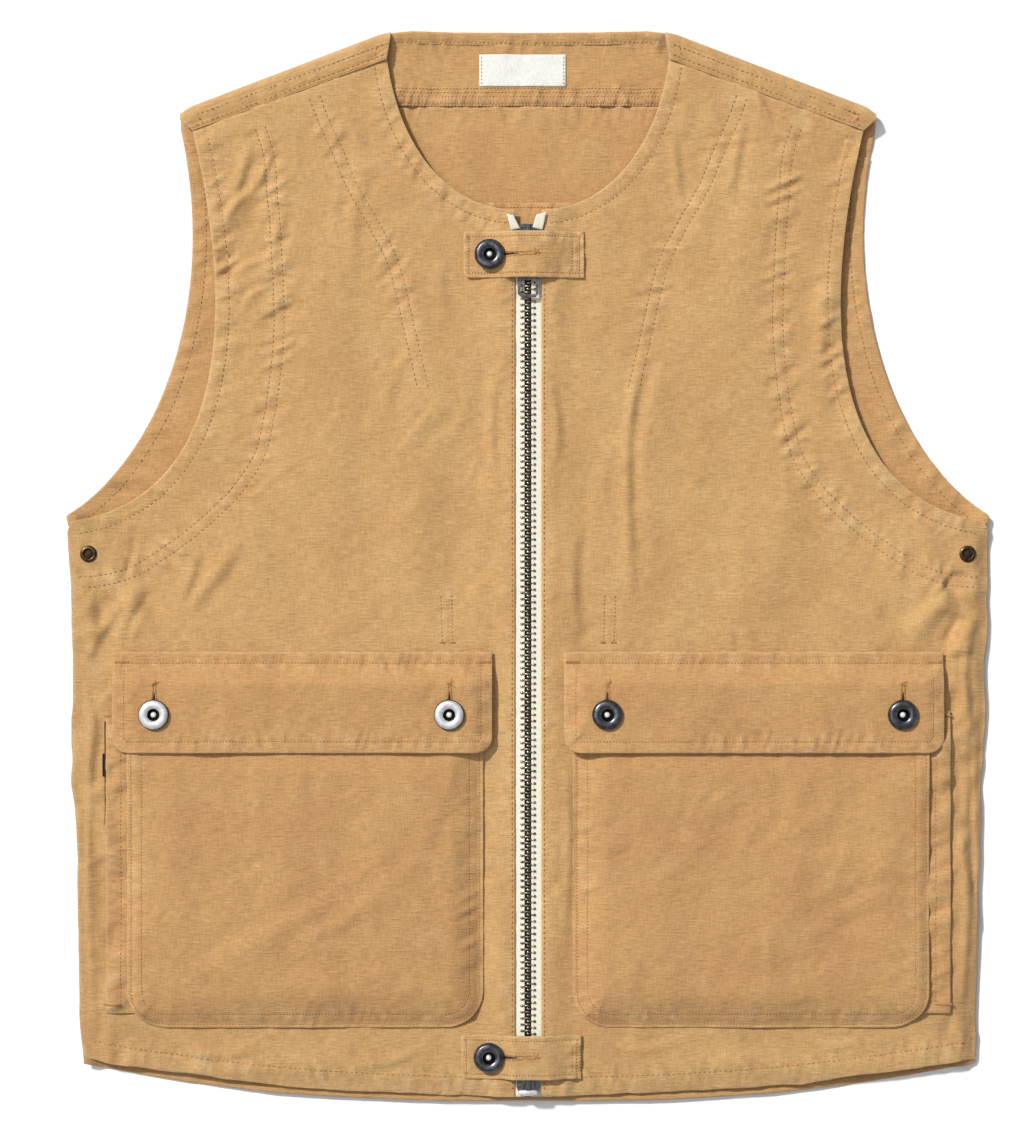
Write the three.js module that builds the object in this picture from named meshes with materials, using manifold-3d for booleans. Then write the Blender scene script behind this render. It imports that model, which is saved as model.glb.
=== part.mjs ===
// A fishing vest, zipped up and lying on its back.
// Millimetres. +X points to the wearer's left, +Y to the neck, +Z up from the surface it lies on.
import * as THREE from "three";
import { mergeVertices } from "three/addons/utils/BufferGeometryUtils.js";
import Module from "manifold-3d";

const wasm = await Module();
wasm.setup();

// ---------- driving dimensions ----------

const CANVAS = 1.2; // one layer of canvas with its turned-in seam allowance
const FACING = 0.8; // a facing strip
const FLAP = 1.4; // the two layers of a flap or tab
const GAP = 0.3; // clearance between pieces that are sewn or laid together
const HOLLOW = 5.7; // space for the body between back and front
const POCKET_HOLLOW = 4.5; // space inside a pocket

const FRONT_Z = CANVAS + HOLLOW; // underside of the front panels
const FRONT_TOP = FRONT_Z + CANVAS;

const ZIP_EDGE = 7.4; // folded edge of a front panel, from the middle of the zip
const ZIP_LIFT = 2.5; // how far the front panels ride up over the zip tape
const ZIP_LIFT_START = 12.5; // where they start to come down, from the middle of the zip
const ZIP_LIFT_FADE = 15;
const ZIP_TOP = 182; // upper end of the row of teeth
const ZIP_BOTTOM = -289;
const TAPE_TOP = 196;
const TAPE_BOTTOM = -298;
const TAPE = { outer: 13.5, low: 8.4, high: 9.1 };
const ZIP_FACING = { inset: 0.8, outer: 16.5, low: 7.25, high: 8.1 };
const ZIP_STOP = { low: 7.7, high: 9.8, topInner: 2.8, pinInner: 2.6, height: 3.5 };
const TOOTH_PITCH = 3.5;
const CHAIN_Z = 8.75; // middle of the teeth
const CHAIN_DEPTH = 2.6;
const CHAIN_HALF = 4.2;

const BUTTON_RADIUS = 8.5;
const BUTTON_HEIGHT = 3;
const NAIL_RADIUS = 1.2;
const BUTTON_OPENING = 9.8; // opening of a rigid flap or tab that lets the button head through

const FLAP_HINGE_Y = -55.3; // topstitched line that a pocket flap folds about
const TAB_HINGE_X = 24.6; // double stitched line that a tab folds about

const CANVAS_COLOUR = 0xcba06b;

// ---------- materials ----------

function material(colour, roughness, metalness) {
  return new THREE.MeshStandardMaterial({ color: colour, roughness, metalness });
}

const canvas = material(CANVAS_COLOUR, 0.95, 0);
const tapeCloth = material(0xeee3c5, 0.9, 0);
const labelCloth = material(0xf2f1ea, 0.85, 0);
const gunmetal = material(0x6d6b66, 0.35, 1);
const toothMetal = material(0x4a4536, 0.45, 1);
const darkBrass = material(0x5b5546, 0.4, 1);

// ---------- geometry helpers ----------

const vest = new THREE.Group();

function addMesh(name, geometry, surface) {
  const mesh = new THREE.Mesh(geometry, surface);
  mesh.name = name;
  vest.add(mesh);
}

// The same faces wound the other way round.
function flipped(geometry) {
  const index = geometry.index.array;
  for (let i = 0; i < index.length; i += 3) {
    [index[i + 1], index[i + 2]] = [index[i + 2], index[i + 1]];
  }
  return geometry;
}

// The same piece on the wearer's other side.
function mirrored(geometry) {
  return flipped(bare(geometry).scale(-1, 1, 1));
}

function addPair(name, geometry, surface) {
  addMesh("left_" + name, geometry, surface);
  addMesh("right_" + name, mirrored(geometry), surface);
}

// Positions only, with shared vertices merged.
function bare(geometry) {
  const positions = new THREE.BufferGeometry();
  positions.setAttribute("position", geometry.getAttribute("position").clone());
  if (geometry.index) {
    positions.setIndex(geometry.index.clone());
  }
  return mergeVertices(positions, 1e-4);
}

function solid(geometry) {
  const merged = bare(geometry);
  return new wasm.Manifold(
    new wasm.Mesh({
      numProp: 3,
      vertProperties: merged.getAttribute("position").array,
      triVerts: new Uint32Array(merged.index.array),
    }),
  );
}

function geometryOf(manifold) {
  const mesh = manifold.getMesh();
  const geometry = new THREE.BufferGeometry();
  geometry.setAttribute("position", new THREE.BufferAttribute(mesh.vertProperties, 3));
  geometry.setIndex(new THREE.BufferAttribute(mesh.triVerts, 1));
  return geometry;
}

function join(first, ...others) {
  return geometryOf(others.reduce((sum, other) => sum.add(solid(other)), solid(first)));
}

function cut(first, ...others) {
  return geometryOf(others.reduce((rest, other) => rest.subtract(solid(other)), solid(first)));
}

function mix(a, b, t) {
  return a + (b - a) * t;
}

// 0 before the start, 1 after the length, smooth between.
function ease(distance, length) {
  return THREE.MathUtils.smoothstep(distance, 0, length);
}

function evenly(count) {
  return Array.from({ length: count + 1 }, (_, i) => i / count);
}

// A closed body between an inner and an outer surface over the same grid of (u, v).
function shell(us, vs, innerAt, outerAt) {
  const positions = [];
  for (const pointAt of [innerAt, outerAt]) {
    for (const v of vs) {
      for (const u of us) {
        positions.push(...pointAt(u, v));
      }
    }
  }
  const index = [];
  const at = (layer, column, row) => (layer * vs.length + row) * us.length + column;
  const quad = (a, b, c, d) => index.push(a, b, c, a, c, d);
  const lastColumn = us.length - 1;
  const lastRow = vs.length - 1;
  for (let row = 0; row < lastRow; row++) {
    for (let column = 0; column < lastColumn; column++) {
      quad(at(0, column, row), at(0, column, row + 1), at(0, column + 1, row + 1), at(0, column + 1, row));
      quad(at(1, column, row), at(1, column + 1, row), at(1, column + 1, row + 1), at(1, column, row + 1));
    }
    quad(at(0, 0, row + 1), at(0, 0, row), at(1, 0, row), at(1, 0, row + 1));
    quad(at(0, lastColumn, row), at(0, lastColumn, row + 1), at(1, lastColumn, row + 1), at(1, lastColumn, row));
  }
  for (let column = 0; column < lastColumn; column++) {
    quad(at(0, column, 0), at(0, column + 1, 0), at(1, column + 1, 0), at(1, column, 0));
    quad(at(0, column + 1, lastRow), at(0, column, lastRow), at(1, column, lastRow), at(1, column + 1, lastRow));
  }
  const geometry = new THREE.BufferGeometry();
  geometry.setAttribute("position", new THREE.Float32BufferAttribute(positions, 3));
  geometry.setIndex(index);
  return geometry;
}

// A sheet whose rows run between two lines, with its underside at a given height.
function ruledSheet(us, vs, lineA, lineB, undersideAt, thickness) {
  const planAt = (u, v) => {
    const a = lineA(v);
    const b = lineB(v);
    return [mix(a.x, b.x, u), mix(a.y, b.y, u)];
  };
  const surfaceAt = (lift) => (u, v) => {
    const [x, y] = planAt(u, v);
    return [x, y, undersideAt(x, y, u, v) + lift];
  };
  return shell(us, vs, surfaceAt(0), surfaceAt(thickness));
}

// A rectangular sheet with rounded lower corners.
function roundedSheet(area, radius, us, vs, undersideAt, thickness) {
  const height = area.top - area.bottom;
  const inset = (v) => {
    const rise = Math.max(0, radius - v * height);
    return radius - Math.sqrt(radius * radius - rise * rise);
  };
  const edge = (x, sign) => (v) => new THREE.Vector2(x + sign * inset(v), area.bottom + v * height);
  return ruledSheet(us, vs, edge(area.left, 1), edge(area.right, -1), undersideAt, thickness);
}

// Grid lines at the given distances from each end of a side, and evenly between them.
function linesNear(length, starts, ends, between) {
  const first = starts.length ? Math.max(...starts) : 0;
  const last = length - (ends.length ? Math.max(...ends) : 0);
  const middle = evenly(between).map((t) => mix(first, last, t));
  const all = [0, ...starts, ...middle, ...ends.map((d) => length - d), length];
  return [...new Set(all.map((d) => +(d / length).toFixed(5)))].sort((a, b) => a - b);
}

function flatSheet(points, z, thickness) {
  const geometry = new THREE.ExtrudeGeometry(new THREE.Shape(points), { depth: thickness, bevelEnabled: false });
  return geometry.translate(0, 0, z);
}

function box(left, right, bottom, top, low, high) {
  const geometry = new THREE.BoxGeometry(right - left, top - bottom, high - low);
  return geometry.translate((left + right) / 2, (bottom + top) / 2, (low + high) / 2);
}

// An upright cylinder, used as a drill.
function post(x, y, radius, low, high, sides = 24) {
  const geometry = new THREE.CylinderGeometry(radius, radius, high - low, sides);
  return geometry.rotateX(Math.PI / 2).translate(x, y, (low + high) / 2);
}

// A body of revolution about +Z from [radius, height] pairs.
function turned(profile, x, y, z, sides = 24) {
  const points = profile.map(([radius, height]) => new THREE.Vector2(radius, height));
  return new THREE.LatheGeometry(points, sides).rotateX(Math.PI / 2).translate(x, y, z);
}

function curve(...points) {
  const corners = points.map(([x, y]) => new THREE.Vector2(x, y));
  return corners.length === 4
    ? new THREE.CubicBezierCurve(...corners)
    : new THREE.QuadraticBezierCurve(...corners);
}

// ---------- outlines of the wearer's left half ----------

const sideEdge = curve([250, -277], [256, -120], [258, 18]);
const frontArmhole = curve([256, 24], [180, 34], [158, 118], [188, 243]);
const backArmhole = curve([259, 27], [205, 62], [173, 150], [196, 248]);
const neckline = curve([8, 198], [45, 200], [72, 232], [79, 283]);
const SIDE_TOP = 0.4; // share of a front panel's rows that lie below the armhole
const NECK_START = 0.85; // share below the neckline

const SHOULDER = { neckX: 77, tipX: 193, neckY: 299.3, slope: -0.381 };
const FRONT_SEAM = new THREE.LineCurve(neckline.v3, frontArmhole.v3); // yoke to front panel
const YOKE_SEAM = { y: 257, tipX: 189, tipY: 228, levelX: 80 };
const BACK_NECK_Y = 296;
const LABEL = { left: -27.4, right: 21.3, bottom: 268, top: 286, thickness: 0.4 };
const SIDE_FALL = { width: 6.5, topY: 28, fade: 22 };
const HEM_START_Y = -297.5; // the front hem at the zip
const HEM_DROP = 5.5; // how far the front hem sags below the straight line from side to zip
const BACK_HEM = curve([250, -280], [150, -299.6], [0, -299.6]);

function shoulderFoldY(x) {
  return SHOULDER.neckY + SHOULDER.slope * (x - SHOULDER.neckX);
}

// ---------- heights ----------

function zipLift(x) {
  return ZIP_LIFT * (1 - ease(Math.abs(x) - ZIP_LIFT_START, ZIP_LIFT_FADE));
}

function frontTop(x) {
  return FRONT_TOP + zipLift(x);
}

// ---------- back, yoke and neck ----------

function backPanel() {
  const half = [
    ...BACK_HEM.getPoints(10).reverse(),
    ...sideEdge.getPoints(6).map((p) => p.addScalar(1)),
    ...backArmhole.getPoints(14).filter((p) => p.y < YOKE_SEAM.tipY - 2),
    new THREE.Vector2(YOKE_SEAM.tipX, YOKE_SEAM.tipY - GAP),
    new THREE.Vector2(YOKE_SEAM.levelX, YOKE_SEAM.y - GAP),
  ];
  const other = half.slice(1).reverse();
  return flatSheet([...half, ...other.map((p) => new THREE.Vector2(-p.x, p.y))], 0, CANVAS);
}

// The yoke's back layer, with its top edge where the shoulders start to fold.
function yokeBack() {
  const radius = FRONT_TOP / 2;
  const foldAt = (x) => new THREE.Vector2(x, shoulderFoldY(x) - radius);
  const half = [
    new THREE.Vector2(YOKE_SEAM.levelX, YOKE_SEAM.y),
    new THREE.Vector2(YOKE_SEAM.tipX, YOKE_SEAM.tipY),
    new THREE.Vector2(SHOULDER.tipX, foldAt(SHOULDER.tipX).y - 4),
    foldAt(SHOULDER.tipX),
    foldAt(SHOULDER.neckX),
    new THREE.Vector2(SHOULDER.neckX - 8, BACK_NECK_Y + 1.2),
    new THREE.Vector2(0, BACK_NECK_Y),
  ];
  const other = half.slice(0, -1).reverse();
  return flatSheet([...half, ...other.map((p) => new THREE.Vector2(-p.x, p.y))], 0, CANVAS);
}

// One shoulder of the yoke, folded over from the back to the front seam.
function yokeShoulder() {
  const outer = FRONT_TOP / 2;
  const inner = outer - CANVAS;
  const overlap = 5;
  const turn = 0.3; // share of the rows on the back, and from there to the front seam
  const surfaceAt = (radius) => (u, v) => {
    const seam = FRONT_SEAM.getPoint(u);
    const backX = mix(SHOULDER.neckX, SHOULDER.tipX, u);
    const centre = shoulderFoldY(backX) - outer;
    if (v < turn) {
      return [backX, centre - overlap * (1 - v / turn), outer - radius];
    }
    const angle = Math.PI * Math.min(1, (v - turn) / 0.4);
    const along = Math.max(0, (v - turn - 0.4) / 0.3);
    const y = mix(centre + radius * Math.sin(angle), seam.y + GAP, along);
    return [mix(backX, seam.x, along), y, outer - radius * Math.cos(angle)];
  };
  return flipped(shell(evenly(6), [0, 0.3, 0.4, 0.5, 0.6, 0.7, 1], surfaceAt(inner), surfaceAt(outer)));
}

function yoke() {
  const shoulder = yokeShoulder();
  return join(yokeBack(), shoulder, mirrored(shoulder));
}

function backNeckFacing() {
  const topY = (x) => BACK_NECK_Y - 0.6 + 1.2 * ease(Math.abs(x), 70);
  const line = (drop) => (v) => {
    const x = mix(-68, 68, v);
    return new THREE.Vector2(x, topY(x) - drop);
  };
  return ruledSheet([0, 1], evenly(8), line(0), line(7), () => CANVAS + GAP, FACING);
}

function neckLabel() {
  const { left, right, bottom, top, thickness } = LABEL;
  return box(left, right, bottom, top, CANVAS + GAP, CANVAS + GAP + thickness);
}

// ---------- front panels and their facings ----------

function frontOuter(v) {
  if (v < SIDE_TOP) {
    return sideEdge.getPoint(v / SIDE_TOP);
  }
  return frontArmhole.getPoint((v - SIDE_TOP) / (1 - SIDE_TOP));
}

function frontInner(v) {
  if (v < NECK_START) {
    return new THREE.Vector2(ZIP_EDGE, mix(HEM_START_Y, neckline.v0.y, v / NECK_START));
  }
  return neckline.getPoint((v - NECK_START) / (1 - NECK_START));
}

// A front panel comes down to the back along its side seam only.
function sideFall(distance, y) {
  const { width, topY, fade } = SIDE_FALL;
  return (HOLLOW - GAP) * (1 - ease(distance, width)) * ease(topY - y, fade);
}

function frontPanel() {
  const us = [0, 0.013, 0.026, 0.1, 0.3, 0.5, 0.7, 0.88, 0.93, 0.96, 0.98, 1];
  const vs = [...evenly(26), SIDE_TOP + 0.012, NECK_START].sort((a, b) => a - b);
  const planAt = (u, v) => {
    const outer = frontOuter(v);
    const inner = frontInner(v);
    const sag = HEM_DROP * 4 * u * (1 - u) * Math.max(0, 1 - v * 8);
    return { x: mix(outer.x, inner.x, u), y: mix(outer.y, inner.y, u) - sag, outer };
  };
  const surfaceAt = (lift) => (u, v) => {
    const { x, y, outer } = planAt(u, v);
    return [x, y, FRONT_Z + zipLift(x) - sideFall(outer.x - x, y) + lift];
  };
  return flipped(shell(us, vs, surfaceAt(0), surfaceAt(CANVAS)));
}

// A strip of the given width inside a curved edge, under the front panel.
function edgeFacing(edge, from, to, width, side, steps) {
  const along = (v) => mix(from, to, v);
  const rim = (v) => edge.getPoint(along(v));
  const inside = (v) => {
    const tangent = edge.getTangent(along(v));
    return rim(v).add(new THREE.Vector2(-tangent.y, tangent.x).multiplyScalar(side * width));
  };
  const sheet = ruledSheet([0, 1], evenly(steps), rim, inside, () => FRONT_Z - GAP - FACING, FACING);
  return side > 0 ? flipped(sheet) : sheet;
}

function hemFacing() {
  const line = (rise) => (v) => {
    const x = mix(242, 19, v);
    const t = (sideEdge.v0.x - x) / (sideEdge.v0.x - ZIP_EDGE);
    const y = mix(sideEdge.v0.y, HEM_START_Y, t) - HEM_DROP * 4 * t * (1 - t);
    return new THREE.Vector2(x, y + rise);
  };
  return ruledSheet([0, 1], evenly(8), line(0.5), line(9.5), () => FRONT_Z - GAP - FACING, FACING);
}

function zipFacing() {
  const { inset, outer, low, high } = ZIP_FACING;
  return box(ZIP_EDGE + inset, outer, TAPE_BOTTOM + 1, TAPE_TOP - 2, low, high);
}

// ---------- zip ----------

function zipTape() {
  return box(CHAIN_HALF + GAP, TAPE.outer, TAPE_BOTTOM, TAPE_TOP, TAPE.low, TAPE.high);
}

// One row of teeth on the cord of its tape, as a comb whose teeth reach past the middle.
function zipTeeth(phase) {
  const spine = 3;
  const reach = -1;
  const width = 1.4;
  const points = [
    new THREE.Vector2(CHAIN_HALF, ZIP_TOP),
    new THREE.Vector2(CHAIN_HALF, ZIP_BOTTOM),
    new THREE.Vector2(spine, ZIP_BOTTOM),
  ];
  for (let y = ZIP_BOTTOM + 1 + phase; y + width < ZIP_TOP; y += TOOTH_PITCH) {
    points.push(new THREE.Vector2(spine, y));
    points.push(new THREE.Vector2(reach, y));
    points.push(new THREE.Vector2(reach, y + width));
    points.push(new THREE.Vector2(spine, y + width));
  }
  points.push(new THREE.Vector2(spine, ZIP_TOP));
  return flatSheet(points, CHAIN_Z - CHAIN_DEPTH / 2, CHAIN_DEPTH);
}

const SLIDER = { length: 16, half: 6.5, tailHalf: 5.8, low: 6, high: 11.5, plate: 1.15, channelHalf: 4.6 };
const BAIL = { half: 1.2, start: 5, leg: 1.3, inside: 7.7, top: 14.3, bar: 1 };
// A pull's rod and neck hold the bail, and it widens below its shoulder round an end window.
const PULL = {
  low: 11.8,
  high: 13,
  half: 5.85,
  neckHalf: 3.2,
  neck: 10,
  shoulder: 13,
  rod: 0.8,
  corner: 2,
  rim: 1.7,
};

// A slider with its tail at y = 0 and its wide end at y = length.
function slider() {
  const { length, half, tailHalf, low, high, plate, channelHalf } = SLIDER;
  const outline = [
    new THREE.Vector2(-tailHalf, 0),
    new THREE.Vector2(tailHalf, 0),
    new THREE.Vector2(half, length * 0.7),
    new THREE.Vector2(half * 0.7, length),
    new THREE.Vector2(-half * 0.7, length),
    new THREE.Vector2(-half, length * 0.7),
  ];
  const channel = box(-channelHalf, channelHalf, -1, length + 1, low + plate, high - plate);
  const slot = box(-half - 1, half + 1, -1, length + 1, TAPE.low - GAP, TAPE.high + GAP);
  const divider = post(0, length - 3.5, 2, low + plate / 2, high - plate / 2, 4);
  const legAt = (y) => box(-BAIL.half, BAIL.half, y, y + BAIL.leg, high - plate / 2, BAIL.top);
  const lastLeg = BAIL.start + BAIL.leg + BAIL.inside;
  const bar = box(-BAIL.half, BAIL.half, BAIL.start, lastLeg + BAIL.leg, BAIL.top - BAIL.bar, BAIL.top);
  const body = cut(flatSheet(outline, low, high - low), channel, slot);
  return join(body, divider, legAt(BAIL.start), legAt(lastLeg), bar);
}

// A flat pull whose top rod runs under the bail, hanging towards -Y from y = 0.
function zipPull(length, windowLength) {
  const { low, high, half, neckHalf, neck, shoulder, rod, corner, rim } = PULL;
  const right = [
    new THREE.Vector2(half - corner, -length),
    new THREE.Vector2(half, -length + corner),
    new THREE.Vector2(half, -shoulder),
    new THREE.Vector2(neckHalf, -neck),
    new THREE.Vector2(neckHalf, rod),
  ];
  const left = right.map((p) => new THREE.Vector2(-p.x, p.y)).reverse();
  const bailWindow = box(-BAIL.half - 0.5, BAIL.half + 0.5, -7.6, -rod, low - 1, high + 1);
  const windowBottom = -length + rim + 0.1;
  const endWindow = box(-half + rim, half - rim, windowBottom, windowBottom + windowLength, low - 1, high + 1);
  return cut(flatSheet([...left, ...right], low, high - low), bailWindow, endWindow);
}

const TOP_SLIDER_Y = 174; // tail of the upper slider
const ROD_Y = 11.3; // pull rod, from a slider's tail
const BOTTOM_SLIDER_Y = -281; // tail of the lower slider, which points up

function addZip() {
  addPair("zip_tape", zipTape(), tapeCloth);
  addMesh("left_zip_teeth", zipTeeth(0), toothMetal);
  addMesh("right_zip_teeth", mirrored(zipTeeth(TOOTH_PITCH / 2)), toothMetal);
  const { low, high, topInner, pinInner, height } = ZIP_STOP;
  const stopLow = ZIP_TOP + 0.5;
  addPair("zip_top_stop", box(topInner, CHAIN_HALF, stopLow, stopLow + height, low, high), toothMetal);
  addPair("zip_pin", box(pinInner, CHAIN_HALF, TAPE_BOTTOM + 0.5, ZIP_BOTTOM - 0.5, low, high), toothMetal);
  addMesh("top_slider", slider().translate(0, TOP_SLIDER_Y, 0), gunmetal);
  addMesh("top_pull", zipPull(36.5, 8).translate(0, TOP_SLIDER_Y + ROD_Y, 0), gunmetal);
  const turnedRound = (geometry) => geometry.rotateZ(Math.PI);
  addMesh("bottom_slider", turnedRound(slider()).translate(0, BOTTOM_SLIDER_Y, 0), gunmetal);
  addMesh("bottom_pull", turnedRound(zipPull(26, 5)).translate(0, BOTTOM_SLIDER_Y - ROD_Y, 0), gunmetal);
}

// ---------- pockets ----------

const BASE = { left: 24, right: 236, bottom: -262, top: -50 };
const PATCH = { left: 25, right: 223.8, bottom: -259.3, top: -68 };
const FLAP_BOX = { left: 20, right: 232, bottom: -105.5, top: FLAP_HINGE_Y };
const PATCH_RADIUS = 21;
const PATCH_RISE = { inner: 12, outer: 8, bottom: 12 }; // over which the patch rises from its sewn edges
const FLAP_RADIUS = 9;
const FLAP_RISE = 12.5; // over which a flap rises from its hinge onto the pocket
const HAND = { start: 178, width: 18, topY: -66, topFade: 40, bottomFade: 18 }; // where the hand pocket opens out
const POCKET_BUTTON_XS = [44, 208.5];
const POCKET_BUTTON_Y = -84;
const PATCH_Z = FRONT_TOP + GAP + FACING + GAP + POCKET_HOLLOW + 0.5;
const FLAP_LOW = 9.9; // underside of a flap at its hinge
const FLAP_HIGH = PATCH_Z + CANVAS + GAP; // underside of a flap over its pocket

// The layer behind the patch pocket stands off the front panel along its open outer edge.
function baseUnderside(x, y) {
  const open = ease(HAND.topY - y, HAND.topFade) * ease(y - BASE.bottom, HAND.bottomFade);
  const hand = ease(x - HAND.start, HAND.width) * open;
  return frontTop(x) + GAP + POCKET_HOLLOW * hand;
}

function pocketBase() {
  const us = linesNear(BASE.right - BASE.left, [8], [42, 49, 58], 3);
  const vs = linesNear(BASE.top - BASE.bottom, [9, 18], [16, 36, 56], 3);
  return roundedSheet(BASE, 0.01, us, vs, baseUnderside, FACING);
}

function patchUnderside(x, y) {
  const sewn = baseUnderside(x, y) + FACING + 2 * GAP;
  const inside = Math.min(
    ease(x - PATCH.left, PATCH_RISE.inner),
    ease(PATCH.right - x, PATCH_RISE.outer),
    ease(y - PATCH.bottom, PATCH_RISE.bottom),
  );
  return mix(sewn, Math.max(PATCH_Z, sewn), inside);
}

function pocketPatch() {
  const us = linesNear(PATCH.right - PATCH.left, [6, 12], [4, 8, 29.8, 36.8, 45.8], 3);
  const vs = linesNear(PATCH.top - PATCH.bottom, [1.5, 6.3, 15.3, 21], [18, 38], 3);
  const sheet = roundedSheet(PATCH, PATCH_RADIUS, us, vs, patchUnderside, CANVAS);
  const drills = POCKET_BUTTON_XS.map((x) => post(x, POCKET_BUTTON_Y, NAIL_RADIUS + GAP, 0, 30, 12));
  return cut(sheet, ...drills);
}

function flapUnderside(x, y) {
  return mix(FLAP_LOW, FLAP_HIGH, ease(FLAP_HINGE_Y - y, FLAP_RISE));
}

function pocketFlap() {
  const us = linesNear(FLAP_BOX.right - FLAP_BOX.left, [], [], 4);
  const vs = linesNear(FLAP_BOX.top - FLAP_BOX.bottom, [1, 4, 9], [4, 8, 12.5], 1);
  const sheet = roundedSheet(FLAP_BOX, FLAP_RADIUS, us, vs, flapUnderside, FLAP);
  const drills = POCKET_BUTTON_XS.map((x) => post(x, POCKET_BUTTON_Y, BUTTON_OPENING, 0, 30));
  return cut(sheet, ...drills);
}

function flapSeam() {
  return box(FLAP_BOX.left, FLAP_BOX.right, FLAP_HINGE_Y + GAP, -49, FLAP_LOW, FLAP_LOW + FLAP);
}

// ---------- tabs across the zip ----------

const NECK_TAB = { left: -36.1, right: 31.4, bottom: 159.9, top: 185.9, buttonX: -21.5 };
const HEM_TAB = { left: -37.5, right: 29.7, bottom: -287.8, top: -263.2, buttonX: -22 };
const TAB_ARCH = { clearance: 0.4, rise: 3.8, half: 15, slope: 8 }; // how a tab rises over the zip pull

function tabUnderside(x) {
  const { clearance, rise, half, slope } = TAB_ARCH;
  return frontTop(x) + clearance + rise * ease(half - Math.abs(x), slope);
}

function tabSheet(tab, left, right) {
  const us = evenly(Math.max(2, Math.round((right - left) / 3.5)));
  const lineAt = (x) => (v) => new THREE.Vector2(x, mix(tab.bottom, tab.top, v));
  return ruledSheet(us, [0, 1], lineAt(left), lineAt(right), tabUnderside, FLAP);
}

function buttonYOf(tab) {
  return (tab.bottom + tab.top) / 2;
}

function freeTab(tab) {
  const sheet = tabSheet(tab, tab.left, TAB_HINGE_X);
  return cut(sheet, post(tab.buttonX, buttonYOf(tab), BUTTON_OPENING - 0.4, 0, 30));
}

// ---------- tack buttons ----------

const CAP_PROFILE = [
  [NAIL_RADIUS + 0.4, 0],
  [7.6, 0],
  [BUTTON_RADIUS, 1.2],
  [8.2, 2.4],
  [7.2, BUTTON_HEIGHT],
  [6, 2.6],
  [5, 1.7],
  [NAIL_RADIUS + 0.4, 1.3],
  [NAIL_RADIUS + 0.4, 0],
];

// A button head and the nail that holds it from behind the cloth.
function addButton(name, x, y, headZ, nailZ) {
  addMesh(name + "_cap", turned(CAP_PROFILE, x, y, headZ), gunmetal);
  const nail = [
    [0, 0],
    [4.4, 0],
    [4.4, 0.6],
    [NAIL_RADIUS, 0.6],
    [NAIL_RADIUS, headZ - nailZ + 1.8],
    [0, headZ - nailZ + 2.1],
  ];
  addMesh(name + "_tack", turned(nail, x, y, nailZ, 12), gunmetal);
}

function addButtons() {
  const headOnPocket = FLAP_HIGH + FLAP + GAP;
  const nailInPocket = PATCH_Z - GAP - 0.6;
  const places = { inner: POCKET_BUTTON_XS[0], outer: POCKET_BUTTON_XS[1] };
  for (const [place, x] of Object.entries(places)) {
    addButton("left_pocket_" + place + "_button", x, POCKET_BUTTON_Y, headOnPocket, nailInPocket);
    addButton("right_pocket_" + place + "_button", -x, POCKET_BUTTON_Y, headOnPocket, nailInPocket);
  }
  const nailInFront = FRONT_Z - GAP - 0.7;
  for (const [name, tab] of Object.entries({ neck_tab_button: NECK_TAB, hem_tab_button: HEM_TAB })) {
    const headZ = tabUnderside(tab.buttonX + BUTTON_RADIUS) + FLAP + GAP;
    addButton(name, tab.buttonX, buttonYOf(tab), headZ, nailInFront);
  }
}

// ---------- ventilation eyelets ----------

const EYELET = { x: 246, y: 5.6, bore: 2.55, barrel: 2.9, flange: 4.7, washer: 0.7 };

function eyelet() {
  const { x, y, bore, barrel, flange } = EYELET;
  const bottom = FRONT_Z - 1;
  const rim = FRONT_TOP + GAP - bottom;
  const profile = [
    [bore, 0],
    [barrel, 0],
    [barrel, rim],
    [flange, rim],
    [flange - 0.4, rim + 0.7],
    [bore + 0.4, rim + 0.9],
    [bore, rim + 0.5],
    [bore, 0],
  ];
  return turned(profile, x, y, bottom);
}

function eyeletWasher() {
  const { x, y, barrel, flange, washer } = EYELET;
  const profile = [
    [barrel + GAP, 0],
    [flange, 0],
    [flange, washer],
    [barrel + GAP, washer],
    [barrel + GAP, 0],
  ];
  return turned(profile, x, y, FRONT_Z - GAP - washer);
}

// ---------- the vest ----------

addMesh("back_panel", backPanel(), canvas);
addMesh("back_yoke", yoke(), canvas);
addMesh("back_neck_facing", backNeckFacing(), canvas);
addMesh("neck_label", neckLabel(), labelCloth);

const eyeletHole = post(EYELET.x, EYELET.y, EYELET.barrel + GAP, 0, 30);
const leftPanel = cut(frontPanel(), eyeletHole);
const tackHole = (tab) => post(tab.buttonX, buttonYOf(tab), NAIL_RADIUS + GAP, 0, 30, 12);
addMesh("left_front_panel", leftPanel, canvas);
addMesh("right_front_panel", cut(mirrored(leftPanel), tackHole(NECK_TAB), tackHole(HEM_TAB)), canvas);
addPair("armhole_facing", edgeFacing(frontArmhole, 0.1, 0.99, 9, 1, 16), canvas);
addPair("neck_facing", edgeFacing(neckline, 0.16, 0.99, 9, -1, 10), canvas);
addPair("hem_facing", hemFacing(), canvas);
addPair("zip_facing", zipFacing(), canvas);
addPair("eyelet", eyelet(), darkBrass);
addPair("eyelet_washer", eyeletWasher(), darkBrass);

addZip();

addPair("pocket_base", pocketBase(), canvas);
addPair("pocket_patch", pocketPatch(), canvas);
addPair("flap_seam", flapSeam(), canvas);
addPair("pocket_flap", pocketFlap(), canvas);

addMesh("neck_tab", freeTab(NECK_TAB), canvas);
addMesh("neck_tab_end", tabSheet(NECK_TAB, TAB_HINGE_X + GAP, NECK_TAB.right), canvas);
addMesh("hem_tab", freeTab(HEM_TAB), canvas);
addMesh("hem_tab_end", tabSheet(HEM_TAB, TAB_HINGE_X + GAP, HEM_TAB.right), canvas);

addButtons();

export default vest;
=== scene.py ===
import math

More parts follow.
